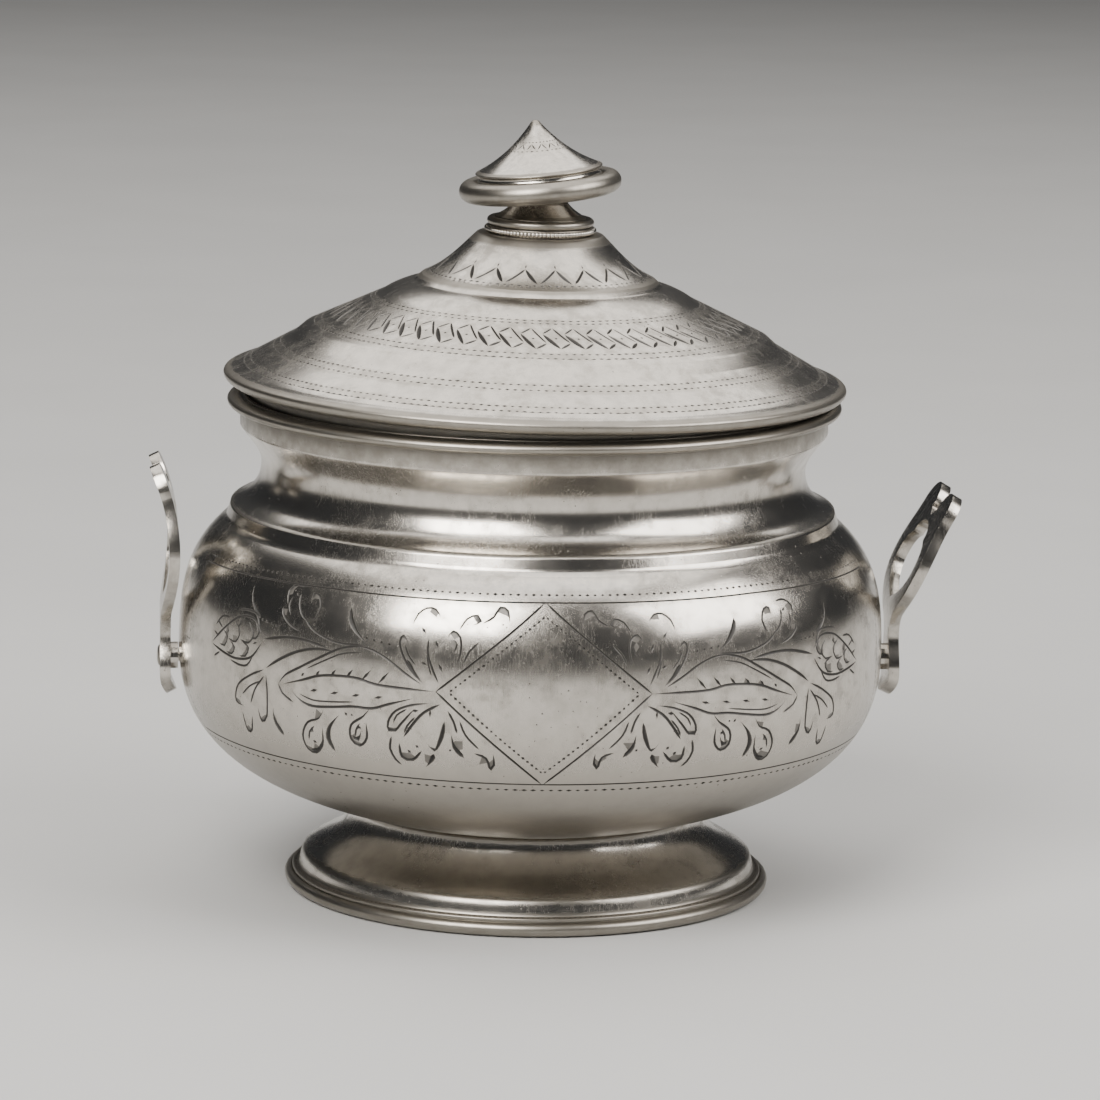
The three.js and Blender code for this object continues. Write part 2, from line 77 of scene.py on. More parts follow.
# an outline is a list of (radius, height) in millimetres
def bend(start, pullA, pullB, end, steps):
    # the points of a curve after its first one
    knots = [Vector((p[0], p[1], 0)) for p in (start, pullA, pullB, end)]
    return [(p.x, p.y) for p in interpolate_bezier(*knots, steps + 1)[1:]]


def stretch(points, step):
    # long straight runs get points in between
    out = [points[0]]
    for a, b in zip(points, points[1:]):
        n = max(1, math.ceil(math.dist(a, b) / step))
        out += [(a[0] + (b[0] - a[0]) * k / n, a[1] + (b[1] - a[1]) * k / n) for k in range(1, n + 1)]
    return out


def soften(points, radius, least=0.3, steps=4):
    # rounds each corner that turns by more than least radians
    out = [points[0]]
    for a, b, c in zip(points, points[1:], points[2:]):
        into, away = Vector(b) - Vector(a), Vector(c) - Vector(b)
        turn = abs(into.angle_signed(away)) if into.length > 1e-6 and away.length > 1e-6 else 0
        if turn < least:
            out.append(b)
            continue
        cut = min(radius * math.tan(turn / 2), 0.45 * into.length, 0.45 * away.length)
        p, q = Vector(b) - into.normalized() * cut, Vector(b) + away.normalized() * cut
        for k in range(steps + 1):
            t = k / steps
            out.append(tuple(p * (1 - t) ** 2 + Vector(b) * 2 * t * (1 - t) + q * t ** 2))
    return out + [points[-1]]


def inset(points, thickness):
    # the outline moved inwards, for the inner face of a sheet
    out = []
    for i, (r, z) in enumerate(points):
        a, b = points[max(i - 1, 0)], points[min(i + 1, len(points) - 1)]
        along = (Vector(b) - Vector(a)).normalized()
        out.append((0 if r == 0 else max(r - along.y * thickness, 0), z + along.x * thickness))
    return out


def halfRound(back, proud, low, height, steps=10):
    middle = low + height / 2
    return [(back + proud * math.cos(t), middle + height / 2 * math.sin(t))
            for t in (-math.pi / 2 + math.pi * k / steps for k in range(steps + 1))]


class Profile:
    # an outer face as a path, measured by the way along it

    def __init__(self, points):
        self.points = points
        self.way = [0.0]
        for a, b in zip(points, points[1:]):
            self.way.append(self.way[-1] + math.dist(a, b))

    def at(self, s):
        i = max(1, min(self.index(s), len(self.points) - 1))
        a, b = self.points[i - 1], self.points[i]
        t = (s - self.way[i - 1]) / (self.way[i] - self.way[i - 1])
        return a[0] + (b[0] - a[0]) * t, a[1] + (b[1] - a[1]) * t

    def index(self, s):
        low, high = 0, len(self.way) - 1
        while high - low > 1:
            mid = (low + high) // 2
            low, high = (mid, high) if self.way[mid] <= s else (low, mid)
        return high

    def find(self, side, value, start=0.0):
        # way along to a radius (side 0) or a height (side 1), looked for from start on
        for i, (a, b) in enumerate(zip(self.points, self.points[1:])):
            if self.way[i + 1] > start and (a[side] - value) * (b[side] - value) <= 0 and a[side] != b[side]:
                run = self.way[i + 1] - self.way[i]
                return self.way[i] + run * (value - a[side]) / (b[side] - a[side])
        raise ValueError(f"the outline never reaches {value}")

    def facing(self, i):
        a, b = self.points[max(i - 1, 0)], self.points[min(i + 1, len(self.points) - 1)]
        return Vector((b[1] - a[1], a[0] - b[0])).normalized()

    def normal(self, s):
        i = max(1, min(self.index(s), len(self.points) - 1))
        t = (s - self.way[i - 1]) / (self.way[i] - self.way[i - 1])
        return self.facing(i - 1).lerp(self.facing(i), t).normalized()


# an engraved stroke lies in the flattened band, as (way round, way up) in millimetres
engraveSet = {
    "clear": 0.12,     # room kept between a stroke and the shell's own points
    "soilReach": 0.8,  # how far soil lies round a stroke, and how thick
    "soil": 0.34,
    "blackDepth": 0.08,
}


def throughPoints(points, step=0.7):
    # a smooth line through given points
    if len(points) == 2:
        return stretch(points, step)
    knots = [Vector(p) for p in points]
    out = [points[0]]
    for i in range(len(knots) - 1):
        a, b = knots[i], knots[i + 1]
        before = knots[i - 1] if i else a
        after = knots[i + 2] if i + 2 < len(knots) else b
        out += bend(a, a + (b - before) / 6, b - (after - a) / 6, b, max(1, round((b - a).length / step)))
    return out


def swell(t):
    return math.sin(math.pi * t) ** 0.6


def evenCut(t):
    return min(1, 6 * t, 6 * (1 - t))


def comma(t):
    return math.sin(math.pi * t ** 1.8) ** 0.8


def stroke(points, width, shape=evenCut, step=0.7):
    line = throughPoints(points, step)
    n = len(line) - 1
    half = [width / 2 * max(shape(k / n), 0) for k in range(n + 1)]
    return {"line": line, "half": half, "depth": 0.75 * width / 2 + 0.02}


def nick(x, y, length, width, angle=0.0):
    dx, dy = math.cos(angle) * length / 2, math.sin(angle) * length / 2
    return {"line": [(x - dx, y - dy), (x, y), (x + dx, y + dy)],
            "half": [0, width / 2, 0], "depth": 0.4 * width}


def nickRow(start, end, pitch, length, width, jitter=0.0):
    # a row of short cuts along a straight line in the band
    way = math.dist(start, end)
    angle = math.atan2(end[1] - start[1], end[0] - start[0])
    n = max(1, round(way / pitch))
    row = []
    for k in range(n):
        t = (k + 0.5) / n
        x, y = start[0] + (end[0] - start[0]) * t, start[1] + (end[1] - start[1]) * t
        size = 1 + random.uniform(-1, 1) * 0.2
        row.append(nick(x, y + random.uniform(-1, 1) * jitter, length * size, width * size, angle))
    return row


class Depths:
    # how deep the strokes cut at a place

    def __init__(self, strokes, cell=2.0):
        self.cell, self.cells = cell, {}
        for cut in strokes:
            pairs = zip(cut["line"], cut["line"][1:], cut["half"], cut["half"][1:])
            widest = max(cut["half"])
            for a, b, p, q in pairs:
                part = (a, b, p, q, cut["depth"] / widest)
                xs, ys = sorted((a[0], b[0])), sorted((a[1], b[1]))
                around = widest + engraveSet["soilReach"] + 0.1
                for i in range(self.slot(xs[0] - around), self.slot(xs[1] + around) + 1):
                    for j in range(self.slot(ys[0] - around), self.slot(ys[1] + around) + 1):
                        self.cells.setdefault((i, j), []).append(part)

    def slot(self, value):
        return math.floor(value / self.cell)

    def at(self, x, y, margin=0.0):
        deep = 0.0
        for (ax, ay), (bx, by), p, q, slope in self.cells.get((self.slot(x), self.slot(y)), ()):
            dx, dy = bx - ax, by - ay
            t = max(0, min(1, ((x - ax) * dx + (y - ay) * dy) / (dx * dx + dy * dy)))
            half = p + (q - p) * t
            away = math.hypot(x - ax - t * dx, y - ay - t * dy)
            deep = max(deep, (half + margin - away) * slope)
        return deep if deep > 0.004 or margin else 0.0


def hollows(points, closed, reach=0.9):
    # how sharply the outline turns inwards near each of its points, -1 to 1
    turns = []
    for i in range(len(points)):
        if not closed and i in (0, len(points) - 1):
            turns.append((0.0, 0.0))
            continue
        a, b, c = points[i - 1], points[i], points[(i + 1) % len(points)]
        into, away = Vector(b) - Vector(a), Vector(c) - Vector(b)
        if into.length < 1e-6 or away.length < 1e-6:
            turns.append((0.0, 0.0))
        else:
            turns.append((-into.angle_signed(away), 0.0))
    out = []
    for i, here in enumerate(points):
        total = 0.0
        for j, there in enumerate(points):
            away = math.dist(here, there)
            if away < 3 * reach:
                total += turns[j][0] * math.exp(-(away / reach) ** 2)
        out.append(max(-1.0, min(1.0, total * 1.4)))
    return out


def engravedBand(bm, profile, rows, columns, strokes, place, layers, hollow):
    # fills one ring of a turned shell with faces that follow its engraving; place is the band's own radius
    e = engraveSet
    first, last = rows
    length = fullTurn * place
    depths = Depths(strokes)
    spots, lines = [], []

    def spot(x, y):
        spots.append(Vector((min(max(x, 0), length), y)))
        return len(spots) - 1

    for i in range(first, last + 1):
        for k in range(columns + 1):
            x, y = length * k / columns, profile.way[i]
            edge = i in (first, last) or k in (0, columns)
            if edge or depths.at(x, y, e["clear"]) <= 0:
                mark = spot(x, y)
                if i in (first, last) and k:
                    lines.append((mark - 1, mark))
    for cut in strokes:
        line, half = cut["line"], cut["half"]
        chains = ([], [], [])
        for i, (x, y) in enumerate(line):
            a, b = line[max(i - 1, 0)], line[min(i + 1, len(line) - 1)]
            side = Vector((a[1] - b[1], b[0] - a[0])).normalized() * half[i]
            middle = spot(x, y)
            chains[0].append(middle)
            for chain, sign in ((chains[1], 1), (chains[2], -1)):
                chain.append(middle if half[i] < 0.01 else spot(x + side.x * sign, y + side.y * sign))
        lines += [(a, b) for chain in chains for a, b in zip(chain, chain[1:]) if a != b]
    flat, _, faces, *_ = delaunay_2d_cdt(spots, lines, [], 0, 1e-4, False)
    marks = []
    for point in flat:
        deep = depths.at(point.x, point.y)
        radius, height = profile.at(point.y)
        facing = profile.normal(point.y)
        angle = point.x / place
        radius, height = radius - facing.x * deep, height - facing.y * deep
        vert = bm.verts.new((radius * math.cos(angle) * mm, radius * math.sin(angle) * mm, height * mm))
        vert[layers["facing"]] = (facing.x * math.cos(angle), facing.x * math.sin(angle), facing.y)
        vert[layers["way"]] = point.y
        soiled = e["soil"] if depths.at(point.x, point.y, e["soilReach"]) > 0 else 0.0
        vert[layers["hollow"]] = max(hollow[min(profile.index(point.y), len(hollow) - 1)], soiled)
        marks.append((vert, deep))
    cutLayer = bm.loops.layers.float["groove"]
    for face in faces:
        pairs = zip(face, face[1:] + face[:1])
        if abs(sum(flat[a].x * flat[b].y - flat[b].x * flat[a].y for a, b in pairs)) < 1e-7:
            continue  # no area
        made = bm.faces.new([marks[i][0] for i in face])
        if max(marks[i][1] for i in face) > 0:
            for loop, i in zip(made.loops, face):
                loop[cutLayer] = 0.5 + 0.5 * min(1, marks[i][1] / e["blackDepth"])


def turnedShell(outer, inner, columns, bands=()):
    # a turned solid from its outer face, (radius, height) upwards, and its inner face downwards;
    # bands are (first row, last row, radius, strokes) on the outer face
    bm = bmesh.new()
    bm.loops.layers.float.new("groove")
    layers = {"facing": bm.verts.layers.float_vector.new("facing"), "row": bm.verts.layers.int.new("row")}
    for name in ("way", "hollow"):
        layers[name] = bm.verts.layers.float.new(name)
    loop = outer + inner
    closed = loop[0][0] > 0 or loop[-1][0] > 0
    verts = [bm.verts.new((r * mm, 0, z * mm)) for r, z in loop]
    ring = list(zip(verts, verts[1:])) + ([(verts[-1], verts[0])] if closed else [])
    edges = [bm.edges.new(pair) for pair in ring]
    bmesh.ops.spin(bm, geom=verts + edges, cent=(0, 0, 0), axis=(0, 0, 1), dvec=(0, 0, 0),
                   angle=fullTurn, steps=columns, use_merge=True)
    bmesh.ops.remove_doubles(bm, verts=bm.verts, dist=1e-7)
    bmesh.ops.recalc_face_normals(bm, faces=bm.faces)
    tree = KDTree(len(loop))
    for i, (r, z) in enumerate(loop):
        tree.insert((r, z, 0), i)
    tree.balance()
    whole = Profile(loop)
    hollow = hollows(loop, closed)
    facings = []
    for i in range(len(loop)):
        a = loop[i - 1] if i or closed else loop[0]
        b = loop[(i + 1) % len(loop)] if i + 1 < len(loop) or closed else loop[-1]
        facings.append(Vector((b[1] - a[1], a[0] - b[0])).normalized())
    for vert in bm.verts:
        r = math.hypot(vert.co.x, vert.co.y)
        i = tree.find((r / mm, vert.co.z / mm, 0))[1]
        out = facings[i] if r > 1e-7 else Vector((0, math.copysign(1, facings[i].y)))
        across = (vert.co.x / r, vert.co.y / r) if r > 1e-7 else (1, 0)
        vert[layers["facing"]] = (out.x * across[0], out.x * across[1], out.y)
        vert[layers["way"]] = whole.way[i]
        vert[layers["hollow"]] = hollow[i]
        vert[layers["row"]] = i + 1
    profile = Profile(outer)
    for first, last, place, strokes in bands:
        gone = [face for face in bm.faces if all(first < v[layers["row"]] <= last + 1 for v in face.verts)]
        bmesh.ops.delete(bm, geom=gone, context="FACES")
        engravedBand(bm, profile, (first, last), columns, strokes, place, layers, hollow)
        bmesh.ops.remove_doubles(bm, verts=bm.verts, dist=1e-6)
    return bm


class Term:
    # a socket that can be written into sums

    def __init__(self, sheet, socket):
        self.sheet, self.socket = sheet, socket

    def __add__(self, other):
        return self.sheet.math("ADD", self, other)

    def __sub__(self, other):
        return self.sheet.math("SUBTRACT", self, other)

    def __mul__(self, other):
        return self.sheet.math("MULTIPLY", self, other)

    def __rsub__(self, other):
        return self.sheet.math("SUBTRACT", other, self)

    __radd__ = __add__
    __rmul__ = __mul__


class Finish:
    # one material and its nodes

    def __init__(self, name):
        self.material = bpy.data.materials.new(name)
        self.material.use_nodes = True
        self.tree = self.material.node_tree
        self.shader = self.tree.nodes["Principled BSDF"]

    def node(self, kind, settings=None, inputs=None, output=0):
        made = self.tree.nodes.new(kind)
        for name, value in (settings or {}).items():
            setattr(made, name, value)
        for name, value in (inputs or {}).items():
            self.feed(made.inputs[name], value)
        return Term(self, made.outputs[output])

    def feed(self, socket, value):
        if isinstance(value, Term):
            self.tree.links.new(value.socket, socket)
        else:
            socket.default_value = value

    def math(self, operation, a, b=0.0):
        return self.node("ShaderNodeMath", {"operation": operation}, {0: a, 1: b})

    def blend(self, factor, a, b):
        # Mix's sockets 6 and 7 are its two colours, and output 2 is the mixed colour
        return self.node("ShaderNodeMix", {"data_type": "RGBA"}, {0: factor, 6: a, 7: b}, 2)

    def fade(self, value, low, high):
        # 0 below low and 1 above high, smoothly
        return self.node("ShaderNodeMapRange", {"interpolation_type": "SMOOTHSTEP"},
                         {"Value": value, "From Min": low, "From Max": high})

    def attribute(self, name):
        return self.node("ShaderNodeAttribute", {"attribute_name": name}, output=2)

    def objectPlace(self):
        # Texture Coordinate's output 3 is Object
        return self.node("ShaderNodeTexCoord", output=3)

    def millimetres(self, turn=(0, 0, 0), scale=(1, 1, 1)):
        return self.node("ShaderNodeMapping", None, {
            "Vector": self.objectPlace(), "Rotation": turn, "Scale": [c * 1000 for c in scale]})

    def noise(self, place, size, detail=2.0, roughness=0.5):
        return self.node("ShaderNodeTexNoise", None,
                         {"Vector": place, "Scale": 1 / size, "Detail": detail, "Roughness": roughness})


silverLook = {
    "bright": (0.62, 0.585, 0.53, 1), "dull": (0.50, 0.47, 0.425, 1),
    "tarnishAndShade": (0.13, 0.115, 0.09, 1), "patina": (0.010, 0.009, 0.008, 1),
    "roughness": 0.2, "cloudSize": 14.0, "pitSize": 1.3, "ripple": 0.02, "turning": 0.0012,
    # under sets the painted shade towards the bottom: its low and high heights and its share
    "hollowDark": 0.6, "scratch": 0.0015, "under": None,
}


def silver(name, **changes):
    look = {**silverLook, **changes}
    f = Finish(name)
    place = f.millimetres()
    cloud = f.noise(place, look["cloudSize"], 4.0, 0.6)
    breath = f.noise(place, look["cloudSize"] / 5, 5.0, 0.62)
    speck = f.noise(place, 1.1, 3.0, 0.6)
    groove = f.attribute("groove")
    hollow = f.attribute("hollow")
    way = f.attribute("way")

    # tarnish gathers in hollows and in cloudy patches, and edges are rubbed bright
    inHollow = f.fade(hollow + (breath - 0.5) * 0.5, 0.12, 0.75) * look["hollowDark"]
    patches = f.fade(cloud + (breath - 0.5) * 0.6, 0.50, 0.78) * 0.32
    tarnishAndShade = f.math("MAXIMUM", inHollow, patches)

    # painted shade, darker towards the bottom of the belly, standing in for a dark reflection there: full
    # below low, none above high, in metres
    if look["under"]:
        low, high, share = look["under"]
        height = f.node("ShaderNodeSeparateXYZ", None, {0: f.objectPlace()}, 2)
        tarnishAndShade = f.math("MAXIMUM", tarnishAndShade, (1 - f.fade(height + (breath - 0.5) * 0.01, low, high)) * share)

    # small pits, thick in some places and rare in others
    cells = f.node("ShaderNodeTexVoronoi", None,
                   {"Vector": place, "Scale": 1 / look["pitSize"], "Randomness": 1.0})
    crowded = f.fade(f.noise(place, 9.0, 2.0), 0.50, 0.66)
    pits = (1 - f.fade(cells, 0.05, 0.16)) * crowded * f.fade(speck, 0.42, 0.6)

    # wiping scratches in two directions
    lines = []
    for turn, stretchBy in (((0.3, 0.5, 0.9), (2.2, 2.2, 0.045)), ((1.2, 0.2, 0.4), (1.6, 1.6, 0.05))):
        long = f.noise(f.millimetres(turn, stretchBy), 1.0, 1.0)
        lines.append(1 - f.fade(f.math("ABSOLUTE", long - 0.5), 0.0, 0.012))
    scratches = f.math("MAXIMUM", *lines) * f.fade(cloud, 0.35, 0.6)

    tone = f.blend(f.fade(breath, 0.3, 0.75), look["bright"], look["dull"])
    # tarnish, and on the belly the painted shade below, both in the tarnish colour
    tone = f.blend(tarnishAndShade, tone, look["tarnishAndShade"])
    tone = f.blend(pits * 0.85, tone, look["patina"])
    tone = f.blend(f.fade(groove, 0.05, 0.75) * 0.97, tone, look["patina"])
    f.feed(f.shader.inputs["Base Color"], tone)

    rough = look["roughness"] + (breath - 0.5) * 0.12 + tarnishAndShade * 0.25 + scratches * 0.10 + pits * 0.3
    rough = f.math("MAXIMUM", rough + groove * 0.35, 0.06)
    f.feed(f.shader.inputs["Roughness"], f.math("MINIMUM", rough, 0.8))
    f.feed(f.shader.inputs["Metallic"], 1 - f.fade(groove, 0.1, 0.8) * 0.75 - pits * 0.4)

    # ripples of hand work, turning marks round the axis, scratches and pits, in millimetres
    rings = f.node("ShaderNodeTexNoise", {"noise_dimensions": "1D"}, {"W": way, "Scale": 5.0, "Detail": 3.0})
    relief = (f.noise(place, 24.0, 1.0) * look["ripple"] * 2 + breath * look["ripple"] * 0.05
              + rings * look["turning"] - scratches * look["scratch"] - pits * 0.02)
    bump = f.node("ShaderNodeBump", None, {"Height": relief, "Distance": mm, "Strength": 1.0})
    f.feed(f.shader.inputs["Normal"], bump)
    return f.material


def brass(name):
    f = Finish(name)
    place = f.millimetres()
    cloud = f.noise(place, 3.0, 4.0, 0.6)
    grain = f.noise(place, 0.3, 2.0)
    tone = f.blend(f.fade(cloud, 0.35, 0.7), (0.56, 0.44, 0.24, 1), (0.30, 0.22, 0.12, 1))
    f.feed(f.shader.inputs["Base Color"], tone)
    f.feed(f.shader.inputs["Roughness"], 0.32 + cloud * 0.2)
    f.shader.inputs["Metallic"].default_value = 1.0
    f.feed(f.shader.inputs["Normal"],
           f.node("ShaderNodeBump", None, {"Height": grain * 0.01, "Distance": mm, "Strength": 1.0}))
    return f.material


# the bowl's silver gets a painted shade, darker towards the bottom of the belly
spunSilver = silver("spunSilver", under=(0.018, 0.046, 0.62))
lidSilver = silver("lidSilver", roughness=0.22, turning=0.003)
footSilver = silver("footSilver", turning=0.002)
# the straps get a darker silver: painted shade that tones down the bright reflection on their faces
strapSilver = silver("strapSilver", ripple=0.03, turning=0.0, cloudSize=9.0,
                     bright=(0.56, 0.53, 0.48, 1), dull=(0.40, 0.375, 0.335, 1))
finialSilver = silver("finialSilver", turning=0.002, cloudSize=6.0)
oldBrass = brass("oldBrass")
print("materials made")


def piece(name, bm, place, body, material, nodes, sharp=None):
    mesh = bpy.data.meshes.new(name)
    bm.to_mesh(mesh)
    bm.free()
    mesh.shade_smooth()
    if "facing" in mesh.attributes:
        facing = mesh.attributes["facing"].data
        groove = mesh.attributes["groove"].data
        normals = [Vector((0, 0, 1))] * len(mesh.loops)
        for face in mesh.polygons:
            cutFace = any(groove[i].value > 0 for i in face.loop_indices)
            for i in face.loop_indices:
                normals[i] = face.normal if cutFace else facing[mesh.loops[i].vertex_index].vector
        mesh.normals_split_custom_set(normals)
        mesh.attributes.remove(mesh.attributes["facing"])
        mesh.attributes.remove(mesh.attributes["row"])
    elif sharp:
        mesh.set_sharp_from_angle(angle=sharp)
    mesh.transform(place)
    obj = bpy.data.objects.new(name, mesh)
    bpy.context.scene.collection.objects.link(obj)
    mesh.materials.append(material)
    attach(obj, body)
    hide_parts(*nodes)
    print(f"{name}: {len(mesh.polygons)} faces")


def rowsBetween(points, low, high, side=1, after=0):
    # first and last row of an outline between two heights (side 1) or radii (side 0)
    rows = [i for i, p in enumerate(points) if low <= p[side] <= high and i >= after]
    return rows[0], rows[-1]


# the bowl's shell
bowlSet = {
    "footNeck": 30.0, "solder": 1.4, "sag": 0.7, "bellyRise": 27.0, "shoulderRise": 22.3,
    "ledgeRadius": 52.05, "ledgeStep": 2.3, "ledgeInset": 0.7, "neckRadius": 46.2, "neckRise": 6.9,
    "flareRise": 6.6, "mouthRadius": 49.9,
}


def bowlOutline(b):
    joint = (b["footNeck"], footTop)
    widest = (bellyRadius, footTop + b["bellyRise"])
    crease = (b["ledgeRadius"], widest[1] + b["shoulderRise"])
    ledge = (b["ledgeRadius"] - b["ledgeInset"], crease[1] + b["ledgeStep"])
    narrow = (b["neckRadius"], ledge[1] + b["neckRise"])
    lip = (b["mouthRadius"], narrow[1] + b["flareRise"])
    return [
        (0, footTop - b["sag"]), (b["footNeck"] - b["solder"], footTop), joint,
        *bend(joint, (joint[0] + 19, joint[1] + 4.6), (bellyRadius, widest[1] - 15.2), widest, 30),
        *bend(widest, (bellyRadius, widest[1] + 10.4), (crease[0] + 6.9, crease[1] - 5.6), crease, 26),
        (crease[0] - 0.15, crease[1] + 0.55), (ledge[0] + 0.12, ledge[1] - 0.45), ledge,
        *bend(ledge, (narrow[0] + 1.6, ledge[1] + 1.2), (narrow[0], narrow[1] - 3.0), narrow, 12),
        *bend(narrow, (narrow[0], narrow[1] + 2.6), (lip[0] - 1.2, lip[1] - 1.8), lip, 12),
        (b["mouthRadius"], mouthTop),
    ]


# the belly's engraving, in millimetres: the way out from the diamond's corner, and up from its middle
panelSet = {
    "turn": 267.6, "reach": 78.0, "middle": 44.9, "top": 59.4, "dots": 60.5, "low": 29.7, "lowDots": 28.6,
    "corner": 17.7, "rim": 1.35, "jog": 3.4, "bandLow": 26.5, "bandHigh": 62.2,
}
sprayLines = [
    # leaf: midrib, upper edge, tip and lower edge
    ([(0.3, 0), (5.5, 0.1), (10.5, 0.3), (14.5, 1), (20.5, 0.6), (25, -0.8), (29, -2)], 0.36),
    ([(2.5, 1), (5.5, 2.7), (8.5, 4.6), (11.5, 5.8), (14, 6.1)], 0.30),
    ([(12.4, 6.3), (17, 5.5), (21, 3.6), (25.5, 1.2), (28.4, -0.4), (30, -2.2)], 0.34),
    ([(30, -2), (29, -3.5), (26.5, -4.7)], 0.30),
    ([(27, -2.7), (25, -4.1), (22.5, -4.7), (19, -4.4), (14.5, -3.8), (11, -3.7), (8, -2.7),
      (3.8, -1.4)], 0.36),
    # stems to the upright flower, the cone and the hanging petals
    ([(12.4, 6.4), (17, 6.2), (20, 6.6), (23, 7.6), (24.8, 8.8), (26, 9.8)], 0.32),
    ([(19.5, 5.1), (24.5, 5.8), (29, 5.7), (34.2, 4.6)], 0.44),
    ([(18.5, 4.8), (22.5, 4.7), (26.5, 3.6), (30.5, 1.6), (33, 0)], 0.42),
    # fan of petals above the corner
    ([(2.2, 1.2), (4.2, 3), (5.8, 5.3), (6.6, 7.4), (6, 8.6), (5, 7.2)], 0.30),
    ([(-0.4, 1.4), (0.7, 3.6), (1.6, 6), (1.6, 8.4)], 0.30),
    ([(4.6, 10.4), (4, 12), (2.6, 13), (1, 12.9), (0, 11.8)], 0.24),
    ([(-1.6, 8.8), (-2.4, 9.8), (-3.6, 9), (-3.9, 7), (-3.4, 4.8)], 0.28),
    ([(-4.4, 4.8), (-5.2, 6.6), (-6.8, 8.3)], 0.28),
    ([(-3.4, 10), (-4.6, 11.8), (-6.3, 12.4), (-7, 11.5), (-5.6, 10.9)], 0.24),
    ([(-7.2, 11.2), (-9, 12.2), (-10, 13.7), (-11.4, 13.2), (-11.7, 11.4)], 0.28),
    # fan below it
    ([(-0.8, -2), (2, -3.6), (3.8, -5.6), (5.5, -8)], 0.38),
    ([(1, -2), (4, -2.5), (6.8, -3.7), (8.1, -5.6), (8, -7.1), (6.9, -7), (5.9, -5.8), (3.4, -2.9)], 0.32),
    ([(7.6, -8), (8, -10.2), (7.2, -12), (6.2, -12.9)], 0.34),
    ([(6.3, -9), (6, -11.4), (4.2, -11.8), (2.4, -10)], 0.40),
    ([(-2, -3), (-3, -4.7), (-3.6, -6.7)], 0.30),
    ([(-4, -4.5), (-5, -6.9), (-7.2, -9.2)], 0.28),
    ([(-6.3, -9.9), (-8.3, -10.7), (-9, -12.7), (-9.6, -11.8), (-9.5, -9.9)], 0.34),
    # buds hanging from the leaf
    ([(20.2, -5), (21.2, -6.6), (23.6, -7.6), (25, -10), (24.5, -12.3), (22.8, -12.8), (21, -11),
      (20.6, -8)], 0.32),
    ([(11.4, -3.8), (12.6, -5.2), (14.9, -6.9), (15.1, -9.3), (13.6, -10.3), (12.1, -8.8),
      (12.1, -6)], 0.34),
    # hanging petals
    ([(33.4, -0.3), (37, -1.8), (40.4, -4), (41.2, -6.8), (39, -7.3)], 0.32),
    ([(33.4, -1.4), (35.6, -3.8), (37, -6.6)], 0.30),
    ([(33, -1), (32.6, -4.5), (33, -8), (34.5, -9.2), (35.1, -7)], 0.32),
    ([(39.6, -8.4), (39.2, -11.6), (37.8, -11.2), (36.9, -8.6)], 0.30),
    # upright flower
    ([(29.8, 10.8), (30.5, 13), (29, 14.1), (26.8, 14)], 0.30),
    ([(30.6, 10.6), (30.4, 9.4), (28.6, 8), (26, 7.1)], 0.34),
    ([(27.6, 12.8), (27.2, 11.3), (26.4, 10), (25.2, 9)], 0.30),
    ([(25, 12), (24.9, 13.1), (23.6, 13), (22.6, 11.2), (23.4, 9)], 0.30),
    # cone
    ([(34.4, 5.2), (37, 7.4), (41, 7.3), (45, 5), (49.4, 1.6)], 0.34),
    ([(34.4, 4), (37, 1.2), (41, 0.3), (45, 0.6), (49.4, 1.4)], 0.34),
    ([(38.5, 6.9), (36.8, 5), (38, 3.4), (40.4, 3.6)], 0.28),
    ([(42.5, 6.3), (40.6, 4.9), (41.6, 3), (44, 3.2)], 0.28),
    ([(45.8, 4.3), (44.2, 3.4), (45, 1.8), (46.8, 1.9)], 0.26),
    ([(39.8, 3.4), (37.8, 2.6), (38.6, 1.1), (40.4, 0.9)], 0.28),
    ([(43.4, 2.9), (41.8, 2), (42.6, 0.8), (44.4, 1)], 0.26),
    ([(36.6, 6.9), (35.4, 5.6), (36.2, 4.4), (37.4, 4.4)], 0.30),
    ([(36.8, 3.4), (35.6, 3.9)], 0.30),
    ([(41, 7.2), (40.6, 6.2), (41.6, 5.4)], 0.26),
    ([(44.6, 5.1), (44, 4.4), (44.8, 3.6)], 0.26),
    ([(35, 5.6), (36.6, 8.2), (39.6, 8.6), (42, 8.2)], 0.30),
    ([(44, 6.6), (46.6, 6.4), (48.6, 4.6)], 0.30),
    ([(36.4, 1.6), (38, -0.3), (40.4, -0.6), (43, -0.2)], 0.30),
    # shading inside the petals and under the leaf
    ([(3.6, 4), (5, 5.6), (5.6, 7.2)], 0.24),
    ([(0.8, 2.4), (1.4, 4.2), (1.8, 5.8)], 0.22),
    ([(-2.6, 6.2), (-3.2, 7.8), (-2.6, 8.6)], 0.24),
    ([(3.4, -4.4), (4.8, -6), (5.4, -7.4)], 0.26),
    ([(4.8, -3.2), (6.6, -4.4), (7.2, -5.8)], 0.24),
    ([(22.2, -8), (23.4, -9.2), (23.8, -10.8)], 0.26),
    ([(13.2, -6.4), (14, -7.6), (14.2, -8.8)], 0.26),
    ([(34.4, -2.4), (37, -3.6), (39.2, -5.4)], 0.26),
    ([(28.6, 9.4), (29.4, 10.8), (29.2, 12.2)], 0.26),
    ([(14.2, -3), (18.6, -3.5), (22.4, -3.7), (25.4, -3)], 0.22),
    ([(13, 5.2), (16.8, 4.6), (20.4, 3), (24, 1.2)], 0.22),
    ([(47.2, 3), (49, 3.6)], 0.3),
    ([(46, 4.5), (48.2, 5.6)], 0.3),
    ([(46.4, 0.5), (48.6, -0.6)], 0.3),
]
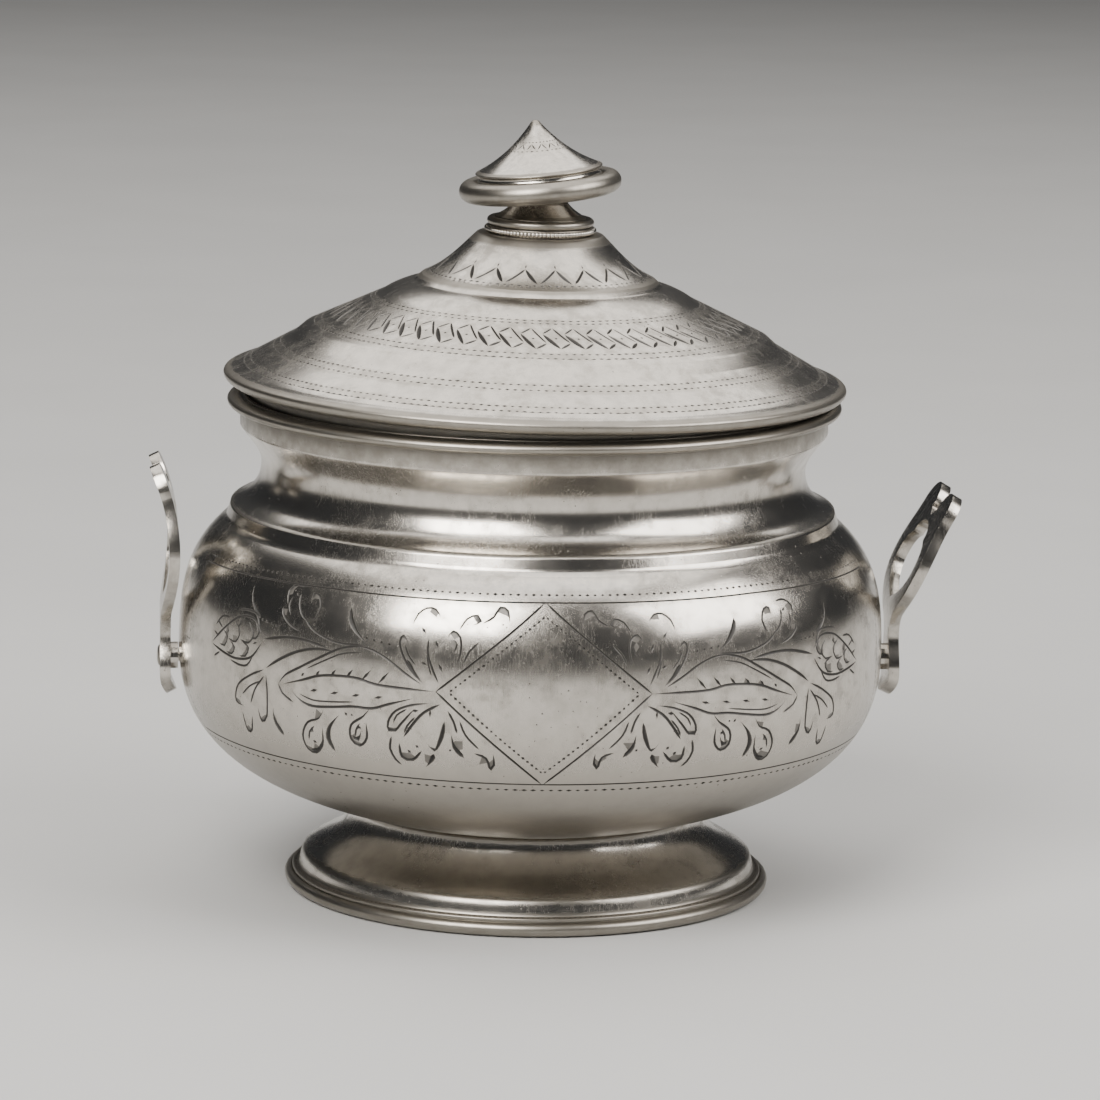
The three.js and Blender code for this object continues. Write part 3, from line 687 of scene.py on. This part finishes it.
sprayCommas = [
    ([(12.4, 6.7), (14.6, 8.3), (16.1, 10.3), (16.5, 12)], 0.80),
    ([(2.4, 1.6), (4, 3.1), (5.1, 4.9)], 0.55),
    ([(2, -12.9), (0.9, -11.6), (0.4, -10.4)], 0.70),
    ([(17, -5.4), (19, -7.6), (19.6, -9.8), (18.6, -12)], 0.75),
    ([(31.2, -6.3), (31.2, -8.3), (29.4, -10.8)], 0.70),
    ([(39.8, 12.6), (38.7, 10.2), (35.6, 7.9)], 0.50),
    ([(1.6, -8.4), (0.3, -9.9), (-1, -7.4), (-1.5, -4.8)], 0.60),
    ([(-2.6, -6.8), (-3.1, -9), (-4.7, -10.8)], 0.62),
    ([(21, -10.4), (22.2, -12.2), (24, -12.4)], 0.60),
    ([(13, -7.6), (13.8, -9.4), (14.8, -8.6)], 0.55),
]
sprayNicks = [
    # (out, up, length, width, angle)
    *[(24.6 - 3.1 * k, 0.2 + 0.75 * k - 0.1 * k * k, 0.7 + 0.32 * k, 0.42, 2.3) for k in range(6)],
    *[(22.2 - 4.1 * k, -2.1 + 0.1 * k, 1.3, 0.42, -0.25) for k in range(4)],
    *[(12.6 - 1.4 * k, 7.5 - 0.2 * k, 0.5, 0.4, 0.8) for k in range(4)],
    *[(35 - 1.2 * k, 7.7 - 0.15 * k, 0.5, 0.4, 0.8) for k in range(4)],
    (0.2, 7.6, 1.2, 0.4, 1.2), (-0.6, 3.9, 1.3, 0.4, 1.1), (2.2, 4.4, 0.8, 0.4, 0.3),
    (2.6, 9.6, 1.0, 0.4, 0.9), (3.4, -3.4, 0.9, 0.45, -0.2), (4.4, -6.4, 0.8, 0.4, 0.2),
    (0.9, -3.6, 1.0, 0.35, 1.6),
    (22.8, -8.8, 0.7, 0.45, 0.9), (22.6, -10.8, 0.7, 0.45, 0.4), (13.3, -7.2, 0.6, 0.45, 0.9),
    (4.6, -10.4, 0.7, 0.5, 0.8), (3.2, -9.4, 0.6, 0.45, 0.8), (28.2, 12.6, 0.8, 0.4, 0.6),
    (15.8, -5.2, 0.6, 0.4, 0.8), (14.7, -5.2, 0.4, 0.35, 0.8), (-2.4, -9.6, 0.4, 0.4, 0.8),
]


def panel(profile, radius, turn):
    # one engraved panel, centred a turn round the belly, and the lines that frame it
    p = panelSet
    centre = math.radians(turn) * radius
    ways = {}

    def at(x, z):
        key = round(z, 2)
        if key not in ways:
            ways[key] = profile.find(1, key)
        return centre + x, ways[key]

    def ruled(points, width, step=1.2):
        run = [at(*q) for q in stretch(points, step)]
        cut = stroke(run[:2], width)
        cut["line"] = run
        cut["half"] = [width / 2 * min(1, 0.2 + k, 0.2 + len(run) - 1 - k) for k in range(len(run))]
        return cut

    cuts = []
    left, right, top, low = -p["reach"], p["reach"], p["top"], p["low"]
    middle, reach = p["middle"], p["corner"]
    cuts.append(ruled([(left, top - 1.2), (left / 2, top - 0.2), (0, top), (right / 2, top - 0.2),
                       (right, top - 1.0)], 0.30))
    cuts.append(ruled([(left, low), (right, low)], 0.30))
    crest = p["dots"]
    topDots = [(left, top - 0.1), (left / 2, crest - 0.2), (0, crest),
               (right / 2, crest - 0.2), (right, top)]
    for start, end in zip(topDots, topDots[1:]):
        cuts += nickRow(at(*start), at(*end), 1.35, 0.76, 0.50)
    cuts += nickRow(at(left, p["lowDots"]), at(right, p["lowDots"]), 1.55, 1.0, 0.46)
    for side in (-1, 1):
        cuts.append(ruled([(side * reach, middle), (side * 0.2, top - 0.1)], 0.38))
        cuts.append(ruled([(side * reach, middle), (side * 0.2, low + 0.1)], 0.38))
        inner = reach - 1.6 * p["rim"]
        cuts += nickRow(at(side * inner, middle), at(0, top - 1.5 * p["rim"]), 0.98, 0.66, 0.46)
        cuts += nickRow(at(side * inner, middle), at(0, low + 1.5 * p["rim"]), 0.98, 0.66, 0.46)
    # pricked ends; the left one steps out round the handle's foot
    out = left - p["jog"]
    for border in ([(right, top - 1), (right, middle + 2), (right, low)],
                   [(left, top - 1.2), (left, middle), (out, middle), (out, middle - 8), (left, low)]):
        for start, end in zip(border, border[1:]):
            cuts += nickRow(at(*start), at(*end), 1.0, 1.02, 0.30)

    # the sprays, drawn by hand twice, so the second differs a little
    for side, lean, grow in ((-1, 0.0, 1.0), (1, -0.035, 0.97)):
        def laid(q, side=side, lean=lean, grow=grow):
            x, y = q[0] * grow, q[1] * grow + lean * max(q[0], 0)
            return at(side * (reach + x), middle + max(-14.6, min(14.0, y)))
        for shape, group in ((evenCut, sprayLines), (comma, sprayCommas)):
            for points, width in group:
                smooth = throughPoints(points, 0.8)
                n = len(smooth) - 1
                cuts.append({"line": [laid(q) for q in smooth],
                             "half": [width * 0.68 * max(0.0, shape(k / n)) for k in range(n + 1)],
                             "depth": 0.42 * width})
        for x, y, length, width, angle in sprayNicks:
            leaning = angle if side > 0 else math.pi - angle
            cuts.append(nick(*laid((x, y)), 1.3 * length, 1.25 * width, leaning))
    return cuts


random.seed(11)
outer = bowlOutline(bowlSet)
inner = inset(outer, wall)
inner[-1] = (inner[-1][0], mouthTop)
bellyRows = rowsBetween(outer, panelSet["bandLow"], panelSet["bandHigh"])
bellyCuts = []
for turn in (panelSet["turn"], panelSet["turn"] - 180):
    bellyCuts += panel(Profile(outer), bellyRadius, turn)
piece("bowlBody", turnedShell(outer, inner[::-1], 288, [(*bellyRows, bellyRadius, bellyCuts)]),
      bowlPlace, "bowl", spunSilver, ["bowl_shell"])

mouthRound = halfRound(bowlSet["mouthRadius"], wireRadius - bowlSet["mouthRadius"],
                       wireLow[2], wireHigh[2] - wireLow[2], 14)
piece("mouthWire", turnedShell(mouthRound, [], 288), bowlPlace, "bowl", spunSilver, ["mouth_wire"])


# the foot
footSet = {"stepRadius": 38.4, "stepHeight": 5.6, "radius": 40.2, "flange": 3.1, "nickPitch": 0.9}


def footOutline(f):
    step, joint = (f["stepRadius"], f["stepHeight"]), (bowlSet["footNeck"], footTop)
    edge = (f["radius"], f["flange"])
    flange = stretch([(edge[0] - 0.25, edge[1]), (step[0] + 0.8, edge[1])], 0.25)
    return [
        (edge[0], 0), (edge[0], edge[1] - 0.25), (edge[0] - 0.08, edge[1] - 0.08), *flange,
        *bend(flange[-1], (step[0] + 0.45, edge[1] + 0.3), (step[0] + 0.5, step[1] - 0.8), step, 8),
        *bend(step, (step[0] - 1.6, step[1] + 1.7), (joint[0], joint[1] - 5.6), joint, 26),
    ]


random.seed(13)
footRadius = footSet["radius"]
footOuter = footOutline(footSet)
footInner = inset(footOuter, wall)
footInner[0] = (footRadius - wall, 0)
footInner[-1] = (bowlSet["footNeck"] - wall, footTop)
# nicks round the flange, three rows of the outline wide
nickStart = rowsBetween(footOuter, footRadius - 1.01, footRadius - 0.24, 0, 3)[0]
nickWay = Profile(footOuter).way[nickStart] + 0.38
footCuts = nickRow((0, nickWay), (fullTurn * footRadius, nickWay), footSet["nickPitch"], 0.55, 0.3)
footBand = (nickStart, nickStart + 3, footRadius, footCuts)
piece("footBody", turnedShell(footOuter, footInner[::-1], 240, [footBand]),
      bowlPlace, "bowl", footSilver, ["foot"])

footWireLow, footWireHigh = corners("foot_wire")
footRound = halfRound(footRadius, (footWireHigh[1] - footWireLow[1]) / 2 - footRadius,
                      footWireLow[2], footWireHigh[2] - footWireLow[2], 12)
piece("footWire", turnedShell(footRound, [], 240), bowlPlace, "bowl", footSilver, ["foot_wire"])


# the lid, from its seat upwards
lidShape = {
    "seat": 50.8, "flange": 3.4, "edge": 52.8, "edgeRise": 1.6, "band": (50.2, 3.0),
    "stepFoot": (41.3, 8.05), "stepTop": (39.4, 9.7), "rollFoot": (26.5, 15.75), "rollTop": (21.0, 18.05),
    "cupolaFoot": (19.8, 19.15), "crown": (10.6, 26.5), "hole": 1.6,
}


def lidOutline(c):
    seat, edge = (c["seat"], 0), (c["edge"], c["edgeRise"])
    rim = [(c["seat"] - c["flange"], 0), seat,
           *bend(seat, (seat[0] + 1.1, 0.15), (edge[0], edge[1] - 0.8), edge, 8),
           *bend(edge, (edge[0], edge[1] + 0.75), (c["band"][0] + 1.2, c["band"][1] - 0.35), c["band"], 8)]
    straight = stretch([c["band"], c["stepFoot"]], 0.9)
    pattern = stretch([c["stepTop"], c["rollFoot"]], 0.9)
    steps = soften([straight[-2], c["stepFoot"], c["stepTop"], pattern[1]], 0.9, steps=5)
    roll, top, foot, crown = c["rollFoot"], c["rollTop"], c["cupolaFoot"], c["crown"]
    crest = bend(roll, (roll[0] - 1.2, roll[1] + 0.95), (top[0] + 1.8, top[1] - 0.25), top, 9)
    cone = bend(foot, (foot[0] - 4.4, foot[1] + 1.9), (crown[0] + 2.4, crown[1] - 2.2), crown, 18)
    shoulder = soften([crest[-2], top, foot, cone[0]], 0.7, steps=4)
    return [*rim, *straight[1:-2], *steps, *pattern[2:-1],
            *soften([pattern[-2], roll, crest[0]], 1.0)[1:-1], *crest[:-2], *shoulder, *cone[1:-1],
            (crown[0] + 0.1, crown[1] - 0.12), (crown[0] - 0.2, crown[1]), (c["hole"], crown[1])]


# each band: its inner and outer radius, the radius it is laid out on, and the radii of its rows of nicks
lidCutSet = {
    "rimBand": (42.4, 49.9, 46.2, (49.3, 48.2, 44.4, 43.2)),
    "chainBand": (26.9, 38.4, 33.0, (37.6, 36.4, 28.2, 27.4)),
    "cupolaBand": (13.6, 19.5, 16.6, (19.2, 18.4)),
    "nickPitch": 1.27, "lozenges": 54, "lozengeTop": 29.5, "zigzags": 19, "zigzagFoot": 17.9,
    "zigzagTop": 15.1,
}


def lozengeChain(c, place, way):
    # a chain of leaning lozenges
    corner = {"left": (0.0, 1.6), "top": (0.47, 0.0), "right": (1.22, 4.0), "low": (0.76, 5.6)}
    sides = (("left", "low", 0.80, swell), ("top", "right", 0.38, evenCut),
             ("left", "top", 0.46, evenCut), ("low", "right", 0.60, swell))
    cuts = []
    pitch = fullTurn * place / c["lozenges"]
    for k in range(c["lozenges"]):
        x, top = (k + 0.02) * pitch, c["lozengeTop"] + random.uniform(-0.12, 0.12)
        wide = pitch * random.uniform(0.96, 1.04)

        def at(u, drop, x=x, top=top, wide=wide):
            return (x + u * wide) % (fullTurn * place), way(top + drop)

        for a, b, width, shape in sides:
            line = [at(*corner[a]), at(*corner[b])]
            if abs(line[0][0] - line[1][0]) < 2 * pitch:
                cuts.append(stroke(line, width * random.uniform(0.85, 1.15), shape, 0.8))
        cuts.append(nick(*at(0.61, 2.8), 0.6, 0.5))
    return cuts


def zigzagRing(c, place, way):
    # a ring of zigzags, each with a nick over its peak
    cuts = []
    pitch = fullTurn * place / c["zigzags"]
    for k in range(c["zigzags"]):
        x = (k + 0.04) * pitch
        apex = c["zigzagTop"] + random.uniform(-0.15, 0.15)
        foot, peak = (x, way(c["zigzagFoot"])), (x + 0.5 * pitch, way(apex))
        cuts.append(stroke([foot, peak], 0.46, evenCut, 0.8))
        cuts.append(stroke([peak, (x + 0.92 * pitch, way(c["zigzagFoot"] + 0.1))], 0.72, swell, 0.8))
        cuts.append(nick(peak[0], peak[1] + 0.55, 0.9, 0.34, math.pi / 2))
    return cuts


def lidBands(points, c):
    profile = Profile(points)
    after = len(points) // 5
    start = profile.way[after]

    def way(radius):
        return profile.find(0, radius, start)

    bands = []
    for name, pattern in (("rimBand", None), ("chainBand", lozengeChain), ("cupolaBand", zigzagRing)):
        inside, outside, place, radii = c[name]
        cuts = []
        for radius in radii:
            real = radius / place
            cuts += nickRow((0, way(radius)), (fullTurn * place, way(radius)),
                            c["nickPitch"] / real, 0.86 / real, 0.42, 0.05)
        if pattern:
            cuts += pattern(c, place, way)
        bands.append((*rowsBetween(points, inside, outside, 0, after), place, cuts))
    return bands


def lidInside(outer, c):
    # the sheet's inner face from the hole outwards, then the flat flange
    sheetFrom = next(i for i, p in enumerate(outer) if p[1] >= c["band"][1])
    face = inset(outer, wall)[sheetFrom:]
    face[-1] = (c["hole"], c["crown"][1] - wall)
    return face[::-1] + [(face[0][0], wall), (c["seat"] - c["flange"], wall)]


random.seed(14)
lidOuter = lidOutline(lidShape)
lidPiece = turnedShell(lidOuter, lidInside(lidOuter, lidShape), 288, lidBands(lidOuter, lidCutSet))
piece("lidBody", lidPiece, lidPlace, "lid", lidSilver, ["lid_shell"])

bezelSet = {"radius": 48.3, "wall": 0.8, "depth": 5.2}


def bezelOutline(b):
    low, inside = -b["depth"], b["radius"] - b["wall"]
    return [(b["radius"], low + 0.2), (b["radius"], 0), (inside, 0), (inside, low + 0.15),
            (b["radius"] - b["wall"] / 2, low)]


piece("lidBezel", turnedShell(bezelOutline(bezelSet), [], 240),
      lidPlace, "lid", lidSilver, ["lid_bezel"])


# the finial: a milled ring, a collar, a stem, and the bent head with its dish, ring and pointed cap
finialSet = {
    "crown": lidShape["crown"][1], "hole": lidShape["hole"], "ringRadius": 9.5, "ringHeight": 1.3,
    "beads": 88, "beadHalf": 0.31, "collarRadius": 9.05, "collarHeight": 1.4, "stemRadius": 7.8,
    "stemTop": 4.2,
}


def beadRing(f):
    radius = f["ringHeight"] / 2 - 0.12
    core = f["ringRadius"] - radius
    low, high = f["crown"], f["crown"] + f["ringHeight"]
    bm = turnedShell([(f["hole"], low), (core - 0.2, low), (core, low + 0.15), (core, high - 0.15),
                      (core - 0.2, high), (f["hole"], high)], [], 128)
    for k in range(f["beads"]):
        angle = fullTurn * k / f["beads"]
        place = (Matrix.Rotation(angle, 4, "Z")
                 @ Matrix.Translation((core * mm, 0, (low + high) / 2 * mm))
                 @ Matrix.Diagonal((radius, f["beadHalf"], radius, 1)))
        made = bmesh.ops.create_icosphere(bm, subdivisions=2, radius=mm, matrix=place)["verts"]
        for vert in made:
            flat = Vector((vert.co.x - core * math.cos(angle) * mm, vert.co.y - core * math.sin(angle) * mm,
                           vert.co.z - (low + high) / 2 * mm))
            vert[bm.verts.layers.float_vector["facing"]] = flat.normalized()
            vert[bm.verts.layers.float["hollow"]] = -0.3
    return bm


def collarOutline(f, low):
    edge = halfRound(f["collarRadius"] - 0.7, 0.7, low, f["collarHeight"], 10)
    return [(f["hole"], low), *edge, (f["hole"], low + f["collarHeight"])]


def stemOutline(f, low):
    foot, top = (f["stemRadius"], low), (f["stemTop"], lidSet["stemTop"])
    return [(0, low), foot,
            *bend(foot, (foot[0] - 1.2, low + 0.7), (top[0] + 0.9, top[1] - 1.5), top, 14), (0, top[1])]


def finialPiece(name, bm, place, node):
    piece(name, bm, place, "lid", finialSilver, [node])


collarLow = finialSet["crown"] + finialSet["ringHeight"]
collarHigh = collarLow + finialSet["collarHeight"]
finialPiece("finialBeadRing", beadRing(finialSet), lidPlace, "finial_bead_ring")
finialPiece("finialCollar", turnedShell(collarOutline(finialSet, collarLow), [], 160),
            lidPlace, "finial_collar")
finialPiece("finialStem", turnedShell(stemOutline(finialSet, collarHigh), [], 128),
            lidPlace, "finial_stem")

headSet = {
    "lift": 0.85, "hub": 5.2, "dish": 9.7, "dishHeight": 1.8, "ring": 11.95, "ringWire": 1.8,
    "ringHeight": 2.3, "skirt": 9.8, "skirtLow": 2.95, "lip": 5.25, "cap": 10.75, "tip": 13.45,
}
capCutSet = {"place": 4.3, "rows": (3.5, 5.0), "band": (3.1, 5.4), "zigzags": 15, "zigzagFoot": 4.75,
             "zigzagTop": 3.75, "width": 0.22}


def dishOutline(h):
    hub, top = (h["hub"], h["lift"]), h["lift"] + h["dishHeight"]
    rim = (h["dish"], top - 0.4)
    return [(0, h["lift"]), hub,
            *bend(hub, (hub[0] + 1.5, hub[1] + 0.3), (rim[0] - 1.2, top - 1.0), rim, 12),
            (h["dish"], top - 0.1), (h["dish"] - 0.1, top), (0, top)]


def ringOutline(h, steps=28):
    return [(h["ring"] + h["ringWire"] * math.cos(t), h["ringHeight"] + h["ringWire"] * math.sin(t))
            for t in (fullTurn * k / steps for k in range(steps))]


def capOutline(h):
    skirt, low, lip, brim = h["skirt"], h["skirtLow"], h["lip"], h["cap"]
    under, tip = lip - 0.35, (0.85, h["tip"] - 0.5)
    beadFoot, groove, edge = (skirt, low + 0.1), (skirt + 0.2, under - 0.3), (brim - 0.12, lip + 0.05)
    return [
        (skirt - 0.9, low), (skirt - 0.1, low), beadFoot,
        # a small bead below the lip, and the groove over it
        *bend(beadFoot, (skirt + 1.05, low + 0.2), (skirt + 1.05, low + 1.0), (skirt + 0.25, low + 1.1), 8),
        groove, *bend(groove, (skirt + 0.3, under - 0.05), (brim - 0.3, under), (brim - 0.1, under), 4),
        (brim, under + 0.12), (brim, lip - 0.1), edge,
        *bend(edge, (brim * 0.62, lip + 1.75), (brim * 0.33, lip + 4.3), tip, 34),
        *bend(tip, (0.6, h["tip"] - 0.15), (0.35, h["tip"]), (0, h["tip"]), 6),
    ]


def capBand(points, c):
    # two rows of nicks with zigzags between them, near the point
    after = len(points) // 2
    profile = Profile(points)
    start = profile.way[after]
    length, width = fullTurn * c["place"], c["width"]
    cuts = []
    for radius in c["rows"]:
        y = profile.find(0, radius, start)
        cuts += nickRow((0, y), (length, y), 0.75, 0.5, 0.24)
    low, high = (profile.find(0, c[end], start) for end in ("zigzagFoot", "zigzagTop"))
    for k in range(c["zigzags"]):
        x, step = length * (k + 0.1) / c["zigzags"], length / c["zigzags"]
        peak = (x + step * 0.42, high)
        cuts.append(stroke([(x, low), peak], width, evenCut, 0.6))
        cuts.append(stroke([peak, (x + step * 0.84, low)], width, evenCut, 0.6))
    return (*rowsBetween(points, *c["band"], 0, after), c["place"], cuts)


finialPiece("finialDish", turnedShell(dishOutline(headSet), [], 160), headPlace, "finial_dish")
finialPiece("finialRing", turnedShell(ringOutline(headSet), [], 192), headPlace, "finial_ring")
random.seed(15)
capOuter = capOutline(headSet)
capInner = [(0, headSet["tip"] - 3.6), (headSet["cap"] * 0.42, headSet["lip"] + 1.1),
            (headSet["skirt"] - 0.9, headSet["lip"] - 0.8)]
finialPiece("finialCap", turnedShell(capOuter, capInner, 128, [capBand(capOuter, capCutSet)]),
            headPlace, "finial_cap")


# the strap handles: a flat pierced shape with soft edges, bent to its side view
strapSet = {
    "thickness": 1.8, "proud": 3.2, "bottom": 32.8, "bend": 47.0, "length": 24.5, "turnIn": 1.3,
    "turnHeight": 3.7, "pad": (4.6, 37.6), "shank": (2.9, 43.6), "bow": (12.4, 57.0), "lobe": 4.1,
    "lobeSpacing": 12.2, "notch": 1.3, "eyeSide": (8.7, 56.6), "eyeCusp": (4.8, 61.8), "eyeLow": 49.8,
    "eyeTop": 65.0, "edge": 0.72, "slice": 0.9,
}
rightBow = {"reach": 72.7, "top": 67.9, "swayOut": 4.0, "swayDown": 9.3}
leftBow = {"reach": 65.2, "top": 72.8, "swayOut": -4.1, "swayDown": 12.3}


def strapHalf(c):
    pad, shank, bow = c["pad"], c["shank"], c["bow"]
    lobe = (c["lobeSpacing"] / 2, c["bend"] + c["length"] - c["lobe"])
    shoulder = (lobe[0] + c["lobe"], lobe[1])
    foot = (0, c["bottom"])
    return [
        foot, *bend(foot, (pad[0] * 0.55, foot[1]), (pad[0], pad[1] - 2.6), pad, 14),
        *bend(pad, (pad[0], pad[1] + 3), (shank[0], shank[1] - 2.8), shank, 14),
        *bend(shank, (shank[0], shank[1] + 4.4), (bow[0], bow[1] - 7.4), bow, 28),
        *bend(bow, (bow[0], bow[1] + 4.6), (shoulder[0], shoulder[1] - 3.6), shoulder, 14),
        *[(lobe[0] + c["lobe"] * math.cos(t), lobe[1] + c["lobe"] * math.sin(t))
          for t in (math.pi * k / 24 for k in range(1, 25))],
        (0, lobe[1] - c["notch"]),
    ]


def eyeHalf(c):
    side, cusp = c["eyeSide"], c["eyeCusp"]
    low, top = (0, c["eyeLow"]), (0, c["eyeTop"])
    return [
        low, *bend(low, (2.4, low[1] + 0.9), (side[0], side[1] - 4), side, 18),
        *bend(side, (side[0], side[1] + 2.6), (cusp[0] + 2.6, cusp[1] - 0.6), cusp, 10),
        *bend(cusp, (cusp[0] + 0.4, cusp[1] + 1.8), (2.4, top[1]), top, 10),
    ]


def sideCurve(c, bow):
    reach = bellyRadius + c["proud"]
    foot = (reach - c["turnIn"], c["bottom"])
    padEnd = (reach, c["bottom"] + c["turnHeight"])
    turn, tip = (reach, c["bend"]), (bow["reach"], bow["top"])
    sway = (reach + bow["swayOut"], bow["top"] - bow["swayDown"])
    line = [(foot[0] - 0.5, foot[1] - 1), foot,
            *bend(foot, (foot[0] + 0.5, foot[1] + 1), (padEnd[0], padEnd[1] - 1.6), padEnd, 8), turn,
            *bend(turn, (reach, c["bend"] + 3.5), sway, tip, 24)]
    return Profile(line + [(2 * tip[0] - line[-2][0], 2 * tip[1] - line[-2][1])])


def strap(c, bow, half):
    bm = bmesh.new()
    loops = []
    for points in (strapHalf(c), eyeHalf(c)):
        whole = points + [(-x, y) for x, y in points[-2:0:-1]]
        verts = [bm.verts.new((x, y, 0)) for x, y in whole]
        loops += [bm.edges.new(pair) for pair in zip(verts, verts[1:] + verts[:1])]
    bmesh.ops.triangle_fill(bm, use_beauty=True, edges=loops)
    level = c["bottom"] + 0.7  # cut across in slices, so that it can bend
    while level < c["bend"] + c["length"]:
        bmesh.ops.bisect_plane(bm, geom=bm.verts[:] + bm.edges[:] + bm.faces[:], dist=1e-5,
                               plane_co=(0, level, 0), plane_no=(0, 1, 0))
        level += c["slice"]
    bmesh.ops.dissolve_limit(bm, angle_limit=0.001, verts=[], edges=[])
    grown = bmesh.ops.extrude_face_region(bm, geom=bm.faces[:])["geom"]
    top = [g for g in grown if isinstance(g, bmesh.types.BMVert)]
    bmesh.ops.translate(bm, verts=top, vec=(0, 0, c["thickness"]))
    bmesh.ops.recalc_face_normals(bm, faces=bm.faces)
    rims = [e for e in bm.edges if len(e.link_faces) == 2 and e.calc_face_angle() > 1.2
            and abs(e.verts[0].co.z - e.verts[1].co.z) < 1e-4]
    bmesh.ops.bevel(bm, geom=rims, offset=c["edge"], offset_type="OFFSET", segments=6, profile=0.5,
                    affect="EDGES", material=-1, clamp_overlap=True)
    side = sideCurve(c, bow)
    squeeze = (bow["top"] - c["bend"]) / c["length"]
    hollow = bm.verts.layers.float.new("hollow")
    for vert in bm.verts:
        across, height, depth = vert.co
        z = height if height < c["bend"] else c["bend"] + (height - c["bend"]) * squeeze
        s = side.find(1, z)
        reach, _ = side.at(s)
        facing = side.normal(s)
        vert.co = ((reach - facing.x * depth) * mm, across * mm, (z - facing.y * depth) * mm)
        vert[hollow] = 0.1 if min(depth, c["thickness"] - depth) < 0.05 else -0.3
    bmesh.ops.recalc_face_normals(bm, faces=bm.faces)
    bmesh.ops.rotate(bm, verts=bm.verts, cent=(0, 0, 0), matrix=Matrix.Rotation(half, 3, "Z"))
    return bm


def rivet(half):
    # domed head outside the strap, and a flatter one inside the bowl
    low, high = corners("right_handle_rivet")
    inside, out = low[0] - axisX, high[0] - axisX
    height = (low[2] + high[2]) / 2
    head = (high[2] - low[2]) / 2
    face = bellyRadius + strapSet["proud"]
    dome = [(head * math.cos(t), face + (out - face) * math.sin(t))
            for t in (math.pi / 2 * k / 8 for k in range(1, 8))]
    shank = 1.1
    outline = [(0, inside), (head * 0.7, inside), (head, inside + 0.5), (shank, inside + 0.5), (shank, face),
               (head, face), *dome, (0, out)]
    lay = (Matrix.Rotation(half, 4, "Z") @ Matrix.Translation((0, 0, height * mm))
           @ Matrix.Rotation(math.pi / 2, 4, "Y"))
    return turnedShell(outline, [], 32), lay


for side, bow, half in (("right", rightBow, 0.0), ("left", leftBow, math.pi)):
    piece(f"{side}Handle", strap(strapSet, bow, half), bowlPlace, "bowl", strapSilver,
          [f"{side}_handle"], sharp=math.radians(40))
    bm, lay = rivet(half)
    piece(f"{side}Rivet", bm, bowlPlace @ lay, "bowl", strapSilver, [f"{side}_handle_rivet"])

# the hidden fittings keep their own shapes
for node, material in (("left_handle_boss", strapSilver), ("right_handle_boss", strapSilver),
                       ("finial_stud", oldBrass), ("finial_washer", oldBrass), ("finial_nut", oldBrass)):
    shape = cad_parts[node]
    shape.data.materials.clear()
    shape.data.materials.append(material)


cameraSet = {"distance": 0.95, "azimuth": -5.0, "elevation": 10.36, "roll": 1.1, "aimRight": 0.0031,
             "aimUp": 0.0578, "lens": 182.3}


def shootFrom(c):
    turn, rise = math.radians(c["azimuth"]), math.radians(c["elevation"])
    away = Vector((math.sin(turn) * math.cos(rise), -math.cos(turn) * math.cos(rise), math.sin(rise)))
    right = Vector((math.cos(turn), math.sin(turn), 0))
    aim = Vector((axisX * mm, 0, c["aimUp"])) + right * c["aimRight"]
    up = away.cross(right)
    look = Matrix((right, up, away)).transposed().to_4x4()
    data = bpy.data.cameras.new("camera")
    data.sensor_width, data.lens = 36.0, c["lens"]
    data.clip_start, data.clip_end = 0.05, 20.0
    camera = bpy.data.objects.new("camera", data)
    camera.matrix_world = (Matrix.Translation(aim + away * c["distance"]) @ look
                           @ Matrix.Rotation(math.radians(c["roll"]), 4, "Z"))
    bpy.context.scene.collection.objects.link(camera)
    bpy.context.scene.camera = camera


# azimuth and elevation in degrees, distance and size in metres, power in watts, colour
lightSet = {
    "leftBox": (-33, 40, 1.2, (0.72, 0.72), 23, (1.0, 0.97, 0.93)),
    "rightBox": (66, 36, 1.2, (0.95, 0.72), 15, (1.0, 0.97, 0.94)),
    "backBox": (180, 68, 1.4, (2.0, 1.7), 24, (1.0, 0.97, 0.93)),
    "frontTop": (0, 72, 1.4, (1.2, 0.5), 4, (1.0, 0.98, 0.96)),
}


def softbox(name, azimuth, elevation, distance, size, power, colour):
    turn, rise = math.radians(azimuth), math.radians(elevation)
    away = Vector((math.sin(turn) * math.cos(rise), -math.cos(turn) * math.cos(rise), math.sin(rise)))
    data = bpy.data.lights.new(name, "AREA")
    data.shape, data.size, data.size_y = "RECTANGLE", *size
    data.energy, data.color = power, colour
    light = bpy.data.objects.new(name, data)
    light.matrix_world = (Matrix.Translation(away * distance + Vector((0, 0, 0.06)))
                          @ away.to_track_quat("Z", "Y").to_matrix().to_4x4())
    bpy.context.scene.collection.objects.link(light)


def floor():
    bm = bmesh.new()
    bmesh.ops.create_grid(bm, x_segments=1, y_segments=1, size=4.0)
    mesh = bpy.data.meshes.new("floor")
    bm.to_mesh(mesh)
    bm.free()
    obj = bpy.data.objects.new("floor", mesh)
    bpy.context.scene.collection.objects.link(obj)
    f = Finish("paleFloor")
    grain = f.noise(f.millimetres(), 60.0, 2.0)
    f.feed(f.shader.inputs["Base Color"], f.blend(grain, (0.44, 0.44, 0.435, 1), (0.48, 0.48, 0.475, 1)))
    f.shader.inputs["Roughness"].default_value = 0.75
    mesh.materials.append(f.material)


shootFrom(cameraSet)
floor()
for name, light in lightSet.items():
    softbox(name, *light)
world = bpy.data.worlds.new("room")
world.use_nodes = True
world.node_tree.nodes["Background"].inputs["Color"].default_value = (0.035, 0.037, 0.04, 1)
bpy.context.scene.world = world
print("stage set")
